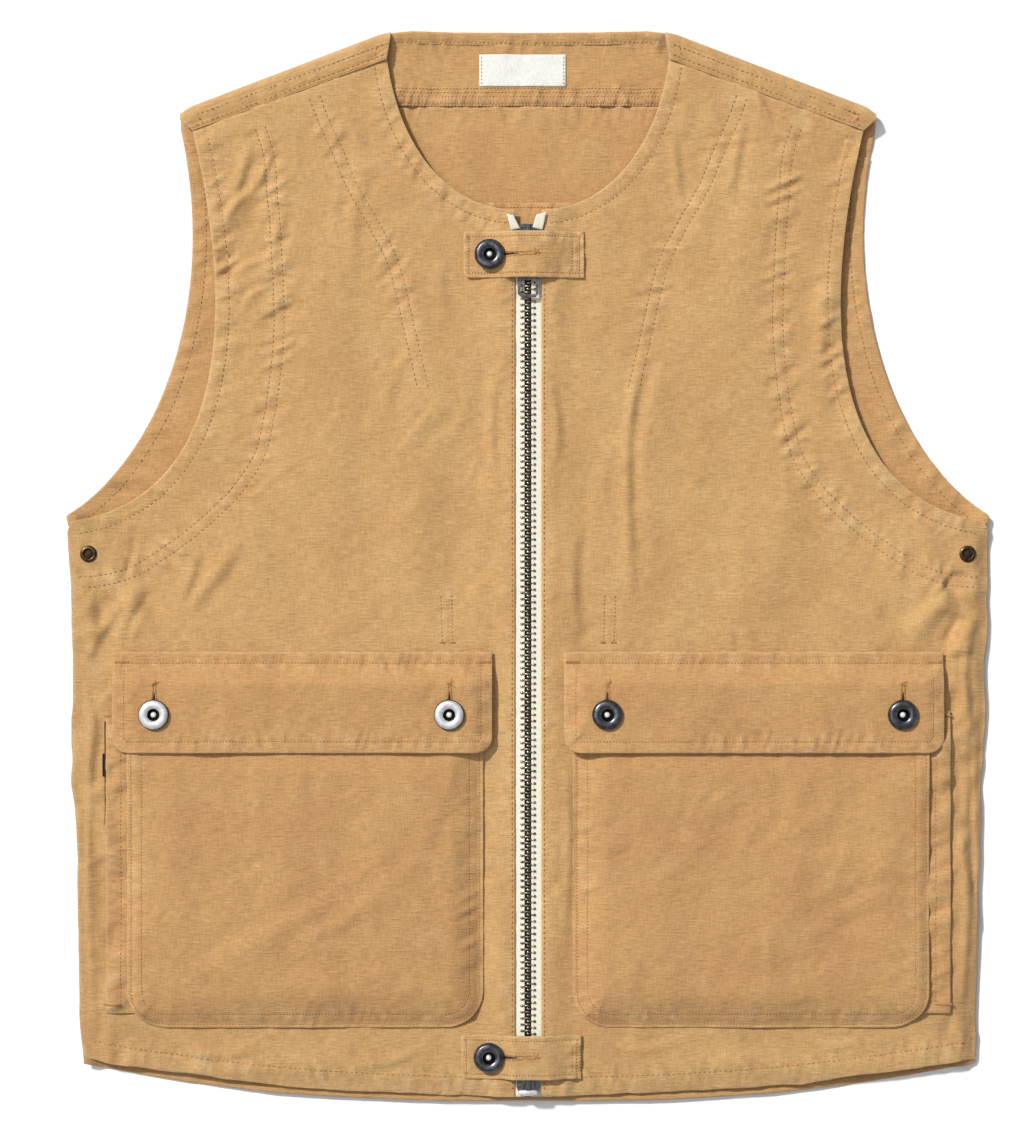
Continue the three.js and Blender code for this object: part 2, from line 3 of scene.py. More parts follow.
import bpy
import numpy as np
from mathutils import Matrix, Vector


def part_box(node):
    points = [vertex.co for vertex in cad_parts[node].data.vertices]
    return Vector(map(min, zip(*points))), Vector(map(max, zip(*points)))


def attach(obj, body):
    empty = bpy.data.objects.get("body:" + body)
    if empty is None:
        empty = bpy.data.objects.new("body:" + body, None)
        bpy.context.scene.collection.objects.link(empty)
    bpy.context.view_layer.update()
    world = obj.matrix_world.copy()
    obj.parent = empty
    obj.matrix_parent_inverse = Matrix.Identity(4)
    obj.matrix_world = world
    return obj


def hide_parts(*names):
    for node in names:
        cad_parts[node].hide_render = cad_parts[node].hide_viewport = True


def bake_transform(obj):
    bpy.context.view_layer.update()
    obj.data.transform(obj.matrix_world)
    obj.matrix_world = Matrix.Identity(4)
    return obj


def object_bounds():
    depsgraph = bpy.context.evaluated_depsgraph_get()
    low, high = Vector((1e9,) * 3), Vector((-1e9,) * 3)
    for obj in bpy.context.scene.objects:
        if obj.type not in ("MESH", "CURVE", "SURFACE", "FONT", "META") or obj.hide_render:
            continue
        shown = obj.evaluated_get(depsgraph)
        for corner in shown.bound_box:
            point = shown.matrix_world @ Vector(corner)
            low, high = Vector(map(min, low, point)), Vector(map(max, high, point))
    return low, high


# A fishing vest lying on its back. Lengths are millimetres until a mesh is made, which is in metres.

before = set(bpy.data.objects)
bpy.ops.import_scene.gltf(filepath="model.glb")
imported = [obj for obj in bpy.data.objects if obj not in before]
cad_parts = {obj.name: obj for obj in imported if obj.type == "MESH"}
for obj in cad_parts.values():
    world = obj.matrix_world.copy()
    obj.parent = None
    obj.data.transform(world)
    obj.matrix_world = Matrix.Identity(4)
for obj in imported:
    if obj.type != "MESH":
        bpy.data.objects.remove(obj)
CAD_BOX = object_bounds()
MM = 0.001
STEP = 1.3  # grid spacing of the cloth

SIDES = {"left": 1, "right": -1}  # the wearer's sides, and the sign of x there


def cad(node):
    """A CAD node's lowest and highest corners, in millimetres."""
    low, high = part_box(node)
    return np.array(low) / MM, np.array(high) / MM


def centre_of(node):
    """The middle of a CAD node's box, in millimetres."""
    return sum(cad(node)) / 2


# ---------- smooth shapes and noise ----------


def ease(distance, length):
    """A smooth step from 0 to 1 over the length."""
    t = np.clip(np.asarray(distance, float) / length, 0, 1)
    return t * t * (3 - 2 * t)


def mix(a, b, t):
    """The value a share t of the way from a to b."""
    return a + (b - a) * t


def bump(distance, width):
    """1 at no distance, falling off smoothly on both sides."""
    return np.exp(-((np.asarray(distance, float) / width) ** 2))


def noise_1d(t, seed):
    """Smooth noise from -1 to 1, about one swing for each unit of t."""
    table = np.random.default_rng(seed).uniform(-1, 1, 1024)
    cell = np.floor(t).astype(int)
    f = ease(t - cell, 1)
    return mix(table[cell % 1024], table[(cell + 1) % 1024], f)


def noise_2d(x, y, size, seed):
    """Smooth noise from -1 to 1 over the plan, with swings of the given size."""
    table = np.random.default_rng(seed).uniform(-1, 1, (256, 256))
    x, y = np.asarray(x, float) / size, np.asarray(y, float) / size
    column, row = np.floor(x).astype(int), np.floor(y).astype(int)
    u, v = ease(x - column, 1), ease(y - row, 1)
    low = mix(table[row % 256, column % 256], table[row % 256, (column + 1) % 256], u)
    high = mix(table[(row + 1) % 256, column % 256], table[(row + 1) % 256, (column + 1) % 256], u)
    return mix(low, high, v)


# ---------- lines on the cloth ----------


def bezier(*corners, count=60):
    """Points along a quadratic or cubic Bezier curve."""
    points = [np.array(corner, float) for corner in corners]
    t = np.linspace(0, 1, count)[:, None]
    while len(points) > 1:
        points = [mix(a, b, t) for a, b in zip(points, points[1:])]
    return points[0]


def spline(points, spacing=4.0):
    """Points along a Catmull-Rom curve through the given ones."""
    p = np.array(points, float)
    p = np.vstack([2 * p[0] - p[1], p, 2 * p[-1] - p[-2]])
    out = []
    for a, b, c, d in zip(p, p[1:], p[2:], p[3:]):
        count = max(2, int(np.hypot(*(c - b)) / spacing))
        t = np.linspace(0, 1, count, endpoint=False)[:, None]
        squared, cubed = 2 * a - 5 * b + 4 * c - d, 3 * b - a - 3 * c + d
        out.append(0.5 * (2 * b + (c - a) * t + squared * t**2 + cubed * t**3))
    return np.vstack([*out, p[-2][None]])


def outset(points, distance):
    """The line beside another one, on its left where distance is positive."""
    points = np.asarray(points, float)
    tangent = np.gradient(points, axis=0)
    tangent /= np.linalg.norm(tangent, axis=1)[:, None]
    return points + distance * np.column_stack([-tangent[:, 1], tangent[:, 0]])


def length_along(points):
    """The length travelled along a line at each of its points."""
    steps = np.hypot(*np.diff(points, axis=0).T)
    return np.concatenate([[0], np.cumsum(steps)])


def measure(points, x, y, reach=1e9):
    """Signed distance from the line (left is positive) and the length along it, for each place.

    Places further off than the reach get a distance of 1e9.
    """
    x, y = np.asarray(x, float), np.asarray(y, float)
    side = np.full(x.shape, 1e9)
    along = np.zeros(x.shape)
    low, high = points.min(axis=0) - reach, points.max(axis=0) + reach
    near = (x > low[0]) & (x < high[0]) & (y > low[1]) & (y < high[1])
    px, py = x[near], y[near]
    best = np.full(px.shape, 1e9)
    signs = np.ones(px.shape)
    lengths = np.zeros(px.shape)
    for (ax, ay), (bx, by), start in zip(points, points[1:], length_along(points)):
        dx, dy = bx - ax, by - ay
        span = math.hypot(dx, dy) or 1e-9
        t = np.clip(((px - ax) * dx + (py - ay) * dy) / span**2, 0, 1)
        gap = np.hypot(px - ax - t * dx, py - ay - t * dy)
        nearer = gap < best
        best = np.where(nearer, gap, best)
        signs = np.where(nearer, np.where(dx * (py - ay) - dy * (px - ax) < 0, -1.0, 1.0), signs)
        lengths = np.where(nearer, start + t * span, lengths)
    side[near] = best * signs
    along[near] = lengths
    return side, along


# ---------- seams and folds ----------


BODY_PITCH, POCKET_PITCH, TAB_PITCH = 2.9, 1.8, 1.7  # from one stitch to the next


class Seam:
    """A sewn line: its stitch rows, the ridge of its seam allowance, and how the cloth puckers beside it."""

    def __init__(
        self, points, rows=(0.0,), ridge=0.0, pucker=0.35, pitch=BODY_PITCH, reach=5.0, seed=1, ends=4.0,
    ):
        self.points = np.asarray(points, float)
        self.rows = rows
        self.ridge = ridge
        self.pucker = pucker
        self.pitch = pitch
        self.reach = reach
        self.seed = seed
        self.ends = ends
        self.total = length_along(self.points)[-1]

    def wave(self, side, along):
        """The ripple of puckered cloth, slanting off the seam both ways."""
        first = noise_1d((along + 0.45 * side) / 3.9, self.seed)
        return first + 0.6 * noise_1d((along - 0.3 * side) / 2.3, self.seed + 1)

    def height(self, x, y):
        side, along = measure(self.points, x, y, 5 * self.reach + max(abs(row) for row in self.rows))
        inside = np.minimum(ease(along + 0.01, self.ends), ease(self.total - along + 0.01, self.ends))
        near = np.abs(side) < 1e8
        edge = max(abs(row) for row in self.rows) + 1.2
        lift = self.ridge * (1 - ease(np.abs(side) - edge + 0.6, 1.4))
        for row in self.rows:
            lift = lift - 0.4 * bump(side - row, 1.1)
        strength = 1 + 0.7 * noise_1d(along / 37, self.seed + 3)
        wave = self.wave(side, along)
        slow = noise_1d((along + 0.8 * side) / 11, self.seed + 2)
        spread = bump(np.maximum(np.abs(side) - edge, 0), self.reach)
        if edge > 6:
            spread = spread * (0.4 + 0.6 * ease(np.abs(side), 5))
        lift = lift + self.pucker * strength * (1.9 * wave + 1.3 * slow) * spread
        return np.where(near, lift * inside, 0)

    # How far the colour beside the seam is lightened, partly by rubbing and partly as painted highlight on
    # the crests of the puckers.
    def rubbed_and_highlit(self, x, y):
        side, along = measure(self.points, x, y, 30)
        edge = max(abs(row) for row in self.rows) + 1.0
        ripple = ease(self.wave(side, along), 1.0)
        return (0.12 + 0.6 * ripple) * bump(np.maximum(np.abs(side) - edge, 0), 3.0)


class Fold:
    """A soft crease: a ridge (or a valley, if height is negative) along a line, fading at its ends."""

    def __init__(self, points, height, width, lean=0.0):
        self.points = spline(points, 8)
        self.size = height
        self.width = width
        self.lean = lean
        self.total = length_along(self.points)[-1]

    def height(self, x, y):
        side, along = measure(self.points, x, y, 6 * self.width)
        t = np.clip(along / self.total, 0, 1)
        fade = np.sin(math.pi * t) ** 0.7
        shape = bump(side, self.width) - self.lean * bump(side - 1.4 * self.width, self.width)
        return self.size * fade * shape


def creases(low, high, count, seed, height=0.4):
    """Small sharp creases over an area, most of them steep, as in cotton that has seen long use and been laid
    flat.
    """
    rng = np.random.default_rng(seed)
    folds = []
    for _ in range(count):
        middle = rng.uniform(low, high)
        angle = rng.normal(math.pi / 2, 0.75)
        half = rng.uniform(9, 30) * np.array([math.cos(angle), math.sin(angle)])
        bow = rng.normal(0, 4, 2)
        width = rng.uniform(1.9, 6.0)
        size = rng.uniform(0.3, 1) * height * (0.5 + width / 5) * rng.choice([-1, 1, 1])
        folds.append(Fold([middle - half, middle + bow, middle + half], size, width, 0.5))
    return folds


def on_side(low, high, s):
    """The corners of an area of the wearer's left, or of its mirror image on the right."""
    return (low, high) if s > 0 else ((-high[0], low[1]), (-low[0], high[1]))


class Cloth:
    """The top surface of a sewn piece, at any place of its plan."""

    def __init__(self, base, seams=(), folds=(), crumple=0.32, seed=10, still=()):
        self.base = base
        self.seams = list(seams)
        self.folds = list(folds)
        self.crumple = crumple
        self.seed = seed
        self.still = still

    def height(self, x, y):
        x, y = np.asarray(x, float), np.asarray(y, float)
        relief = self.relief(x, y)
        for share in self.still:
            relief = relief * share(x, y)
        return self.base(x, y) + relief

    def relief(self, x, y):
        """How far the cloth stands off its smooth shape, from its seams, folds and crumpling."""
        z = np.zeros(x.shape)
        for part in self.seams + self.folds:
            z = z + part.height(x, y)
        bend = 9 * noise_2d(x, y, 60, self.seed + 4)
        z = z + self.crumple * 2.1 * noise_2d(x + bend, y * 0.72, 42, self.seed)
        z = z + self.crumple * 1.4 * noise_2d(x + bend, y * 0.6, 19, self.seed + 1)
        z = z + self.crumple * 0.6 * noise_2d(x, y + bend, 8, self.seed + 2)
        return z + self.crumple * 0.26 * noise_2d(x, y, 3.6, self.seed + 3)

    def rubbed_and_highlit(self, x, y):
        """How far the colour is lightened, partly rubbed off and partly painted highlight: along seams and
        edges, and a little on the crests.
        """
        x, y = np.asarray(x, float), np.asarray(y, float)
        amount = np.zeros(x.shape)
        for seam in self.seams:
            amount = np.maximum(amount, seam.rubbed_and_highlit(x, y))
        return amount


def flat_spot(middle, radius):
    """Holds cloth flat under a button or an eyelet."""
    return lambda x, y: ease(np.hypot(x - middle[0], y - middle[1]) - radius, radius)


# ---------- meshes ----------


def add_object(name, data):
    """A new object in the scene, for a mesh, a light or a camera."""
    obj = bpy.data.objects.new(name, data)
    bpy.context.collection.objects.link(obj)
    return obj


def make_mesh(name, vertices, faces, smooth=True):
    mesh = bpy.data.meshes.new(name)
    mesh.from_pydata((np.asarray(vertices) * MM).tolist(), [], faces)
    mesh.update()
    if smooth:
        mesh.shade_smooth()
    return add_object(name, mesh)


def point_attribute(obj, name, values):
    values = np.asarray(values, np.float32)
    kind = "FLOAT_VECTOR" if values.ndim == 2 else "FLOAT"
    layer = obj.data.attributes.new(name, kind, "POINT")
    layer.data.foreach_set("vector" if values.ndim == 2 else "value", values.ravel())


def shell_faces(rows, columns):
    """Quads of a closed shell: a top grid, a bottom grid, and the rim that joins them."""
    layer = rows * columns
    at = np.arange(layer).reshape(rows, columns)
    a, b, c, d = (part.ravel() for part in (at[:-1, :-1], at[:-1, 1:], at[1:, 1:], at[1:, :-1]))
    top = np.column_stack([a, b, c, d])
    bottom = np.column_stack([a, d, c, b]) + layer
    rim = np.concatenate([at[0, :], at[1:, -1], at[-1, -2::-1], at[-2:0:-1, 0]])
    after = np.roll(rim, -1)
    side = np.column_stack([rim, rim + layer, after + layer, after])
    return np.vstack([top, bottom, side])


def tube_faces(stations, ring, first=0, mirrored=False):
    """Faces of a closed tube of rings, from its first vertex on: its sides and its two ends."""
    faces = []
    for station in range(stations - 1):
        for k in range(ring):
            a, b = first + station * ring + k, first + station * ring + (k + 1) % ring
            faces.append((a, b, b + ring, a + ring))
    last = first + (stations - 1) * ring
    faces += [tuple(range(first, first + ring))[::-1], tuple(range(last, last + ring))]
    return [face[::-1] for face in faces] if mirrored else faces


def cloth_piece(name, x, y, cloth, thickness, edge=1.2, lift=0.0, wear_edges=(1, 1, 1, 1)):
    """A closed sheet of cloth over the plan grid (x, y), with rolled edges.

    wear_edges says how far the edges of the first row, last column, last row and first column are lightened,
    by rubbing and by painted highlight.
    """
    rows, columns = x.shape
    z = cloth.height(x, y) + lift
    to_edge = [
        np.hypot(x - x[:1], y - y[:1]),
        np.hypot(x - x[:, -1:], y - y[:, -1:]),
        np.hypot(x - x[-1:], y - y[-1:]),
        np.hypot(x - x[:, :1], y - y[:, :1]),
    ]
    nearest = np.minimum.reduce(to_edge)
    roll = 0.42 * thickness * (1 - np.sqrt(np.clip(nearest / edge, 0, 1)))
    low = np.maximum(z - thickness + roll, 0.1)
    top = np.maximum(z - roll, low + 0.2 * thickness)
    # Lighter colour along seams, pucker crests and edges: partly rubbed, partly painted highlight.
    rubbed_and_highlit = cloth.rubbed_and_highlit(x, y)
    for distance, amount in zip(to_edge, wear_edges):
        rubbed_and_highlit = np.maximum(rubbed_and_highlit, amount * 0.85 * bump(distance, 1.5))
    vertices = np.concatenate([np.column_stack([g.ravel() for g in (x, y, h)]) for h in (top, low)])
    faces = shell_faces(rows, columns)
    along_row = [x[0, 1] - x[0, 0], y[0, 1] - y[0, 0]]
    across_rows = [x[1, 0] - x[0, 0], y[1, 0] - y[0, 0]]
    if np.cross(along_row, across_rows) <= 0:
        faces = faces[:, ::-1]
    obj = make_mesh(name, vertices, faces.tolist())
    plan = np.column_stack([x.ravel(), y.ravel(), np.zeros(x.size)]) * MM
    point_attribute(obj, "plan", np.vstack([plan, plan]))
    point_attribute(obj, "rubbed_and_highlit", np.concatenate([rubbed_and_highlit.ravel(), rubbed_and_highlit.ravel()]))
    return obj


PLAIN_EDGES = (0, 0, 0, 0)


def grid_lines(length, edge=1.2):
    """Grid lines from 0 to 1, closer at both ends so that an edge can roll."""
    if length < 4 * edge:
        return np.linspace(0, 1, 7)
    inner = np.linspace(edge, length - edge, max(3, int(length / STEP)))
    rim = np.array([0, 0.25, 0.6]) * edge
    return np.concatenate([rim, inner, (length - rim)[::-1]]) / length


def ruled(line_a, line_b, columns):
    """A plan grid whose rows run straight from one line to the other."""
    a, b = np.asarray(line_a), np.asarray(line_b)
    u = columns[None, :]
    return mix(a[:, :1], b[:, :1], u), mix(a[:, 1:], b[:, 1:], u)


def resample(points, at):
    """Points at the given shares of a line's length."""
    travelled = length_along(points)
    return np.column_stack([np.interp(at * travelled[-1], travelled, points[:, i]) for i in (0, 1)])


def rounded_plan(low, high, radius):
    """A plan grid for a rectangle with rounded lower corners."""
    (left, bottom), (right, top) = low, high
    u, v = grid_lines(right - left), grid_lines(top - bottom)
    y = mix(bottom, top, v)
    rise = np.maximum(0, radius - (y - bottom))
    inset = radius - np.sqrt(np.maximum(radius**2 - rise**2, 0))
    return ruled(np.column_stack([left + inset, y]), np.column_stack([right - inset, y]), u)


def mirror(points, sign):
    """Points of the wearer's left, or of the right where the sign is -1."""
    return np.asarray(points, float) * [sign, 1]


def coons(bottom, top, left, right, columns, rows):
    """A plan grid inside four lines that meet at their ends."""
    u, v = columns[None, :, None], rows[:, None, None]
    b, t = resample(bottom, columns)[None], resample(top, columns)[None]
    l, r = resample(left, rows)[:, None], resample(right, rows)[:, None]
    corners = mix(mix(b[:, :1], b[:, -1:], u), mix(t[:, :1], t[:, -1:], u), v)
    plan = mix(b, t, v) + mix(l, r, u) - corners
    return plan[..., 0], plan[..., 1]


# ---------- the plan of the vest, on the wearer's left ----------

HEM_AT_ZIP, NECK_AT_ZIP = -297.5, 198
HEM_AT_SIDE = (250, -277)
HEM_SAG = 5.5
SIDE = bezier(HEM_AT_SIDE, (256, -120), (258, 18))
FRONT_ARMHOLE = bezier((256, 24), (180, 34), (158, 118), (188, 243))
BACK_ARMHOLE = bezier((259, 27), (205, 62), (173, 150), (196, 248))
NECKLINE = bezier((8, NECK_AT_ZIP), (45, 200), (72, 232), (79, 283))
BACK_HEM = bezier((250, -280), (150, -303), (0, -301))
ZIP_EDGE = 7.4
YOKE_Y = 257.0
YOKE_TIP = (float(np.interp(228, BACK_ARMHOLE[:, 1], BACK_ARMHOLE[:, 0])), 228.0)
YOKE_SEAM = np.array([(-YOKE_TIP[0], YOKE_TIP[1]), (-80, YOKE_Y), (80, YOKE_Y), YOKE_TIP], float)
NECK_Y = 298.6
SHOULDER_NECK, SHOULDER_TIP = 77.0, 195.0
SHOULDER_LENGTH = SHOULDER_TIP - SHOULDER_NECK
BAND = 7.6  # the bound edge round the neck and armholes
FOLD_RADIUS = 4.05


def shoulder_fold_y(x):
    return 299.3 - 0.381 * (x - SHOULDER_NECK)


def hem_line():
    """The front hem, from the zip to the side."""
    t = np.linspace(0, 1, 60)
    x = mix(ZIP_EDGE, HEM_AT_SIDE[0], t)
    return np.column_stack([x, mix(HEM_AT_ZIP, HEM_AT_SIDE[1], t) - HEM_SAG * 4 * t * (1 - t)])


CANVAS, FACING, FLAP_CLOTH, GAP = 1.2, 0.8, 1.4, 0.3
FRONT_TOP = 8.1


def zip_lift(x):
    return 2.5 * (1 - ease(np.abs(x) - 12.5, 15))


def pocket_rise(x, y):
    """The front panel lifts where the hand pocket opens behind the flap's outer end."""
    across = ease(x - 196, 20) * (1 - ease(x - 232, 10))
    return 2.2 * across * ease(-50 - y, 12) * ease(np.asarray(y) + 268, 24)


def front_base(x, y):
    depth = np.where(np.asarray(x) < 0, 1.6, 3.8)  # both side seams roll down, one more than the other
    x = np.abs(x)
    side_x = np.interp(y, SIDE[:, 1], SIDE[:, 0])
    fall = depth * (1 - ease(side_x - x, 8.5)) * ease(28 - y, 22)
    hem_fall = 2.0 * (1 - ease(np.asarray(y) + 303, 22)) * ease(x - 16, 14)
    return FRONT_TOP + zip_lift(x) + pocket_rise(x, y) - np.maximum(fall, hem_fall)


ARM_ROW = spline([
    (154, 247), (148, 228), (146, 205), (144, 180), (142.7, 125), (150.4, 70.6), (161, 49), (173, 35),
    (190, 20), (205, 9), (222, -1.5), (240, -6.5), (256, -7.3),
])
PRINCESS = spline([
    (118, 266), (112, 250), (103, 230), (96, 213), (83, 190), (72, 167), (62, 125), (55, 95),
])
PRINCESS_END = spline([(43, -14), (42, -47)])

FRONT_FOLDS = {
    "right": [
        Fold([(-236, 8), (-222, -22), (-206, -50)], 2.56, 7, 0.5),
        Fold([(-214, -4), (-224, -34), (-232, -62)], 1.76, 6, 0.4),
        Fold([(-246, -20), (-240, -60), (-243, -110)], 1.49, 5, 0.4),
        Fold([(-150, 222), (-162, 200), (-178, 178)], 1.35, 6, 0.4),
        Fold([(-154, 240), (-160, 220), (-166, 198)], 1.5, 3.2, 0.6),
        Fold([(-135, 204), (-141, 184), (-146, 162)], 1.2, 3.4, 0.6),
        Fold([(-172, 212), (-178, 186), (-170, 158)], 1.1, 3.6, 0.5),
        Fold([(-250, 2), (-238, -12), (-224, -24)], 1.3, 3.4, 0.6),
        Fold([(-196, 226), (-180, 236), (-158, 246)], 1.08, 6),
        Fold([(-120, 90), (-112, 20), (-100, -48)], 1.49, 16, 0.4),
        Fold([(-170, 30), (-150, -10), (-128, -46)], 1.22, 12, 0.3),
        Fold([(-52, 120), (-62, 30), (-58, -50)], 1.08, 13, 0.3),
        Fold([(-24, 60), (-27, -60), (-22, -200)], 1.08, 6, 0.5),
        Fold([(-100, 190), (-118, 120), (-112, 60)], 1.22, 18),
        Fold([(-60, -285), (-130, -280), (-190, -283)], 1.08, 7, 0.4),
        Fold([(-246, -140), (-244, -200), (-240, -262)], 1.35, 5, 0.4),
        Fold([(-170, 193), (-162, 203), (-152, 212)], 1.7, 2.6, 0.8),
        Fold([(-142, 232), (-147, 222), (-151, 211)], 1.2, 2.2, 0.7),
        Fold([(-167, 160), (-157, 167), (-144, 171)], 1.2, 2.6, 0.7),
        Fold([(-160, 142), (-154, 151), (-143, 156)], 0.9, 2.4, 0.7),
        Fold([(-178, 118), (-166, 124), (-152, 124)], 0.9, 2.8, 0.6),
        Fold([(-160, 14), (-176, -8), (-192, -28)], 1.4, 4.2, 0.6),
        Fold([(-249, -8), (-244, -30), (-246, -60)], 1.1, 3.2, 0.7),
        Fold([(-220, 22), (-222, 2), (-229, -12)], -1.3, 2.0, 0.6),
        Fold([(-184, 9), (-189, -8), (-197, -26)], 1.1, 3.0, 0.6),
        Fold([(-211, -15), (-222, -34), (-226, -50)], -1.2, 2.4, 0.6),
        Fold([(-228, -22), (-238, -36), (-246, -52)], 1.3, 2.8, 0.7),
        Fold([(-248, -70), (-243, -96), (-247, -124)], 1.3, 2.6, 0.7),
        Fold([(-19, 110), (-21, 74), (-18, 36)], 1.2, 3.2, 0.6),
        Fold([(-84, 232), (-98, 196), (-96, 160)], 0.9, 3.6, 0.5),
        Fold([(-60, -272), (-78, -279), (-98, -281)], 0.9, 2.8, 0.6),
        Fold([(-150, -270), (-170, -275), (-196, -272)], 0.9, 3.0, 0.6),
    ],
    "left": [
        Fold([(238, 0), (226, -26), (212, -50)], 2.03, 7, 0.5),
        Fold([(214, 30), (226, 6), (240, -14)], 1.35, 7, 0.3),
        Fold([(246, -20), (243, -70), (246, -120)], 1.62, 5, 0.4),
        Fold([(176, 186), (166, 150), (164, 110)], 1.22, 7, 0.4),
        Fold([(150, 60), (138, 10), (120, -46)], 1.35, 14, 0.4),
        Fold([(70, 110), (58, 30), (62, -48)], 1.22, 13, 0.3),
        Fold([(26, 90), (23, -30), (27, -180)], 1.08, 6, 0.5),
        Fold([(120, 200), (108, 130), (118, 50)], 1.22, 18),
        Fold([(60, -286), (120, -279), (200, -282)], 1.22, 7, 0.4),
        Fold([(241, -140), (246, -200), (239, -262)], 1.49, 5, 0.4),
        Fold([(67, 123), (55.6, 72), (57, -20)], 1.7, 3.4, 0.7),
        Fold([(80, 240), (83, 222), (85, 202)], 1.1, 2.8, 0.6),
        Fold([(127, 263), (131, 256), (137, 247)], 1.3, 2.4, 0.8),
        Fold([(121, 252), (117, 232), (112, 206)], 1.1, 3.2, 0.6),
        Fold([(12, 102), (16, 80), (16, 56)], 1.0, 3.0, 0.6),
        Fold([(28, 20), (25, -10), (29, -44)], 1.1, 3.2, 0.6),
        Fold([(21, -110), (23, -160), (20, -214)], 1.1, 2.8, 0.6),
        Fold([(172, 150), (164, 128), (166, 100)], 1.0, 3.4, 0.5),
        Fold([(249, -30), (244, -60), (248, -96)], 1.5, 2.6, 0.8),
        Fold([(248, -120), (243, -150), (247, -184)], 1.3, 2.6, 0.7),
        Fold([(222, 4), (232, -14), (244, -30)], 1.3, 3.0, 0.7),
        Fold([(40, -268), (62, -272), (86, -268)], 0.9, 3.0, 0.6),
        Fold([(150, -262), (166, -270), (188, -268)], 0.9, 3.0, 0.6),
    ],
}


EYELET_AT = centre_of("left_eyelet")[:2]
BUTTON_XS = [float(centre_of(f"left_pocket_{place}_button_cap")[0]) for place in ("inner", "outer")]
BUTTON_RADIUS = 8.5
BUTTON_Y = float(centre_of("left_pocket_inner_button_cap")[1])


def front_cloth(side):
    """The cloth of a front panel: its bound edges, its seams and the way it lies."""
    s = SIDES[side]
    flip = lambda points: mirror(points, s)
    seed = 100 if s > 0 else 200
    seams = [
        Seam(flip(FRONT_ARMHOLE), (BAND * s,), 0.34, 0.42, seed=seed),
        Seam(flip(NECKLINE), (-BAND * s,), 0.34, 0.36, seed=seed + 10),
        Seam(flip([(ZIP_EDGE, HEM_AT_ZIP), (ZIP_EDGE, NECK_AT_ZIP)]), (-1.6 * s,), 0.1, 0.22, seed=seed + 20),
        Seam(flip(hem_line()), (10.5 * s,), 0.3, 0.36, seed=seed + 30),
        Seam(flip(outset(ARM_ROW, -2.85)), (-2.85, 2.85), 0.3, 0.4, seed=seed + 40, ends=8),
        Seam(flip(outset(PRINCESS, 3)), (-3, 3), 0.22, 0.32, seed=seed + 50, ends=30),
        Seam(flip(outset(PRINCESS_END, 3)), (-3, 3), 0.2, 0.25, pitch=2.2, seed=seed + 60, ends=8),
    ]
    small = creases(*on_side((15, -300), (250, 250), s), 110, seed + 80, 0.5)
    rim = creases(*on_side((228, -280), (252, -10), s), 34, seed + 90, 1.25)
    rim.append(Fold(mirror([(250, -56), (248, -120), (249, -190), (245, -262)], s), -1.1, 1.8, 0.9))
    still = [flat_spot(mirror(EYELET_AT, s), 4.8), lambda x, y: 0.25 + 0.75 * ease(np.abs(x) - ZIP_EDGE, 9)]
    return Cloth(front_base, seams, FRONT_FOLDS[side] + small + rim, 0.42, seed + 70, still)


FRONT = {side: front_cloth(side) for side in SIDES}


def side_sway(y, s):
    """How far a side seam wanders outwards, below the armhole."""
    wander = 1.4 * noise_1d(y / 31, 130 + s) + 0.5 * noise_1d(y / 11, 140 + s) - 0.4
    return wander * ease(14 - y, 20)


def front_plan(side):
    s = SIDES[side]
    outer = np.vstack([SIDE, FRONT_ARMHOLE])
    inner = np.vstack([[(ZIP_EDGE, HEM_AT_ZIP)], [(ZIP_EDGE, y) for y in (-150, 0, 150)], NECKLINE])
    inner[4, 0] = ZIP_EDGE
    corner = length_along(outer)[len(SIDE) - 1] / length_along(outer)[-1]
    seam = np.array([NECKLINE[-1], FRONT_ARMHOLE[-1]])
    rows = np.sort(np.append(grid_lines(560), corner))
    columns = grid_lines(210)
    x, y = coons(hem_line(), seam, inner, outer, columns, rows)
    to_side = np.hypot(x - x[:, -1:], y - y[:, -1:])
    x = x + side_sway(y, s) * bump(to_side, 14)
    to_hem = np.hypot(x - x[:1], y - y[:1])
    y = y + (0.9 * noise_1d(x / 26, 150 + s) + 0.4 * noise_1d(x / 9, 160 + s)) * bump(to_hem, 12)
    return s * x, y


# ---------- pockets ----------

BASE_LOW, BASE_HIGH = (part[:2] for part in cad("left_pocket_base"))
# The base's sewn-down edges stay behind the patch and the flap.
BASE_SHOWN = (BASE_LOW + [12, 11], BASE_HIGH - [0, 32])
PATCH_LOW, PATCH_HIGH = (part[:2] for part in cad("left_pocket_patch"))
FLAP_LOW, FLAP_HIGH = (part[:2] for part in cad("left_pocket_flap"))
SEAM_TOP = cad("left_flap_seam")[1][1]
HINGE_Y = -55.3
PATCH_Z = 14.5
PATCH_RADIUS = 21.0
FLAP_RADIUS = 9.0


def calm_front(side):
    """The front panel's lie without the ridges of its seams, for what is sewn on top of it."""
    cloth = FRONT[side]
    return Cloth(front_base, (), cloth.folds, cloth.crumple, cloth.seed)


def base_height(side):
    under = calm_front(side)

    def height(x, y):
        across = np.abs(x)
        hand = ease(across - 178, 18) * ease(-66 - y, 40) * ease(y - BASE_LOW[1], 18)
        slack = 0.5 * noise_1d(np.asarray(y) / 42, 310 + SIDES[side])
        return under.height(x, y) + GAP + FACING + (0.9 + slack) * hand

    return height


def outline(low, high, radius):
    """The outline of a patch with rounded lower corners, from its top left round to its top right."""
    (left, bottom), (right, top) = low, high
    turn = np.linspace(0, math.pi / 2, 10)
    down = np.linspace(top, bottom + radius, 12)
    across, rise = radius - radius * np.cos(turn), radius - radius * np.sin(turn)
    return np.vstack([
        np.column_stack([np.full(12, left), down])[:-1],
        np.column_stack([left + across, bottom + rise]),
        np.column_stack([right - rise, bottom + across]),
        np.column_stack([np.full(12, right), down[::-1]])[1:],
    ])


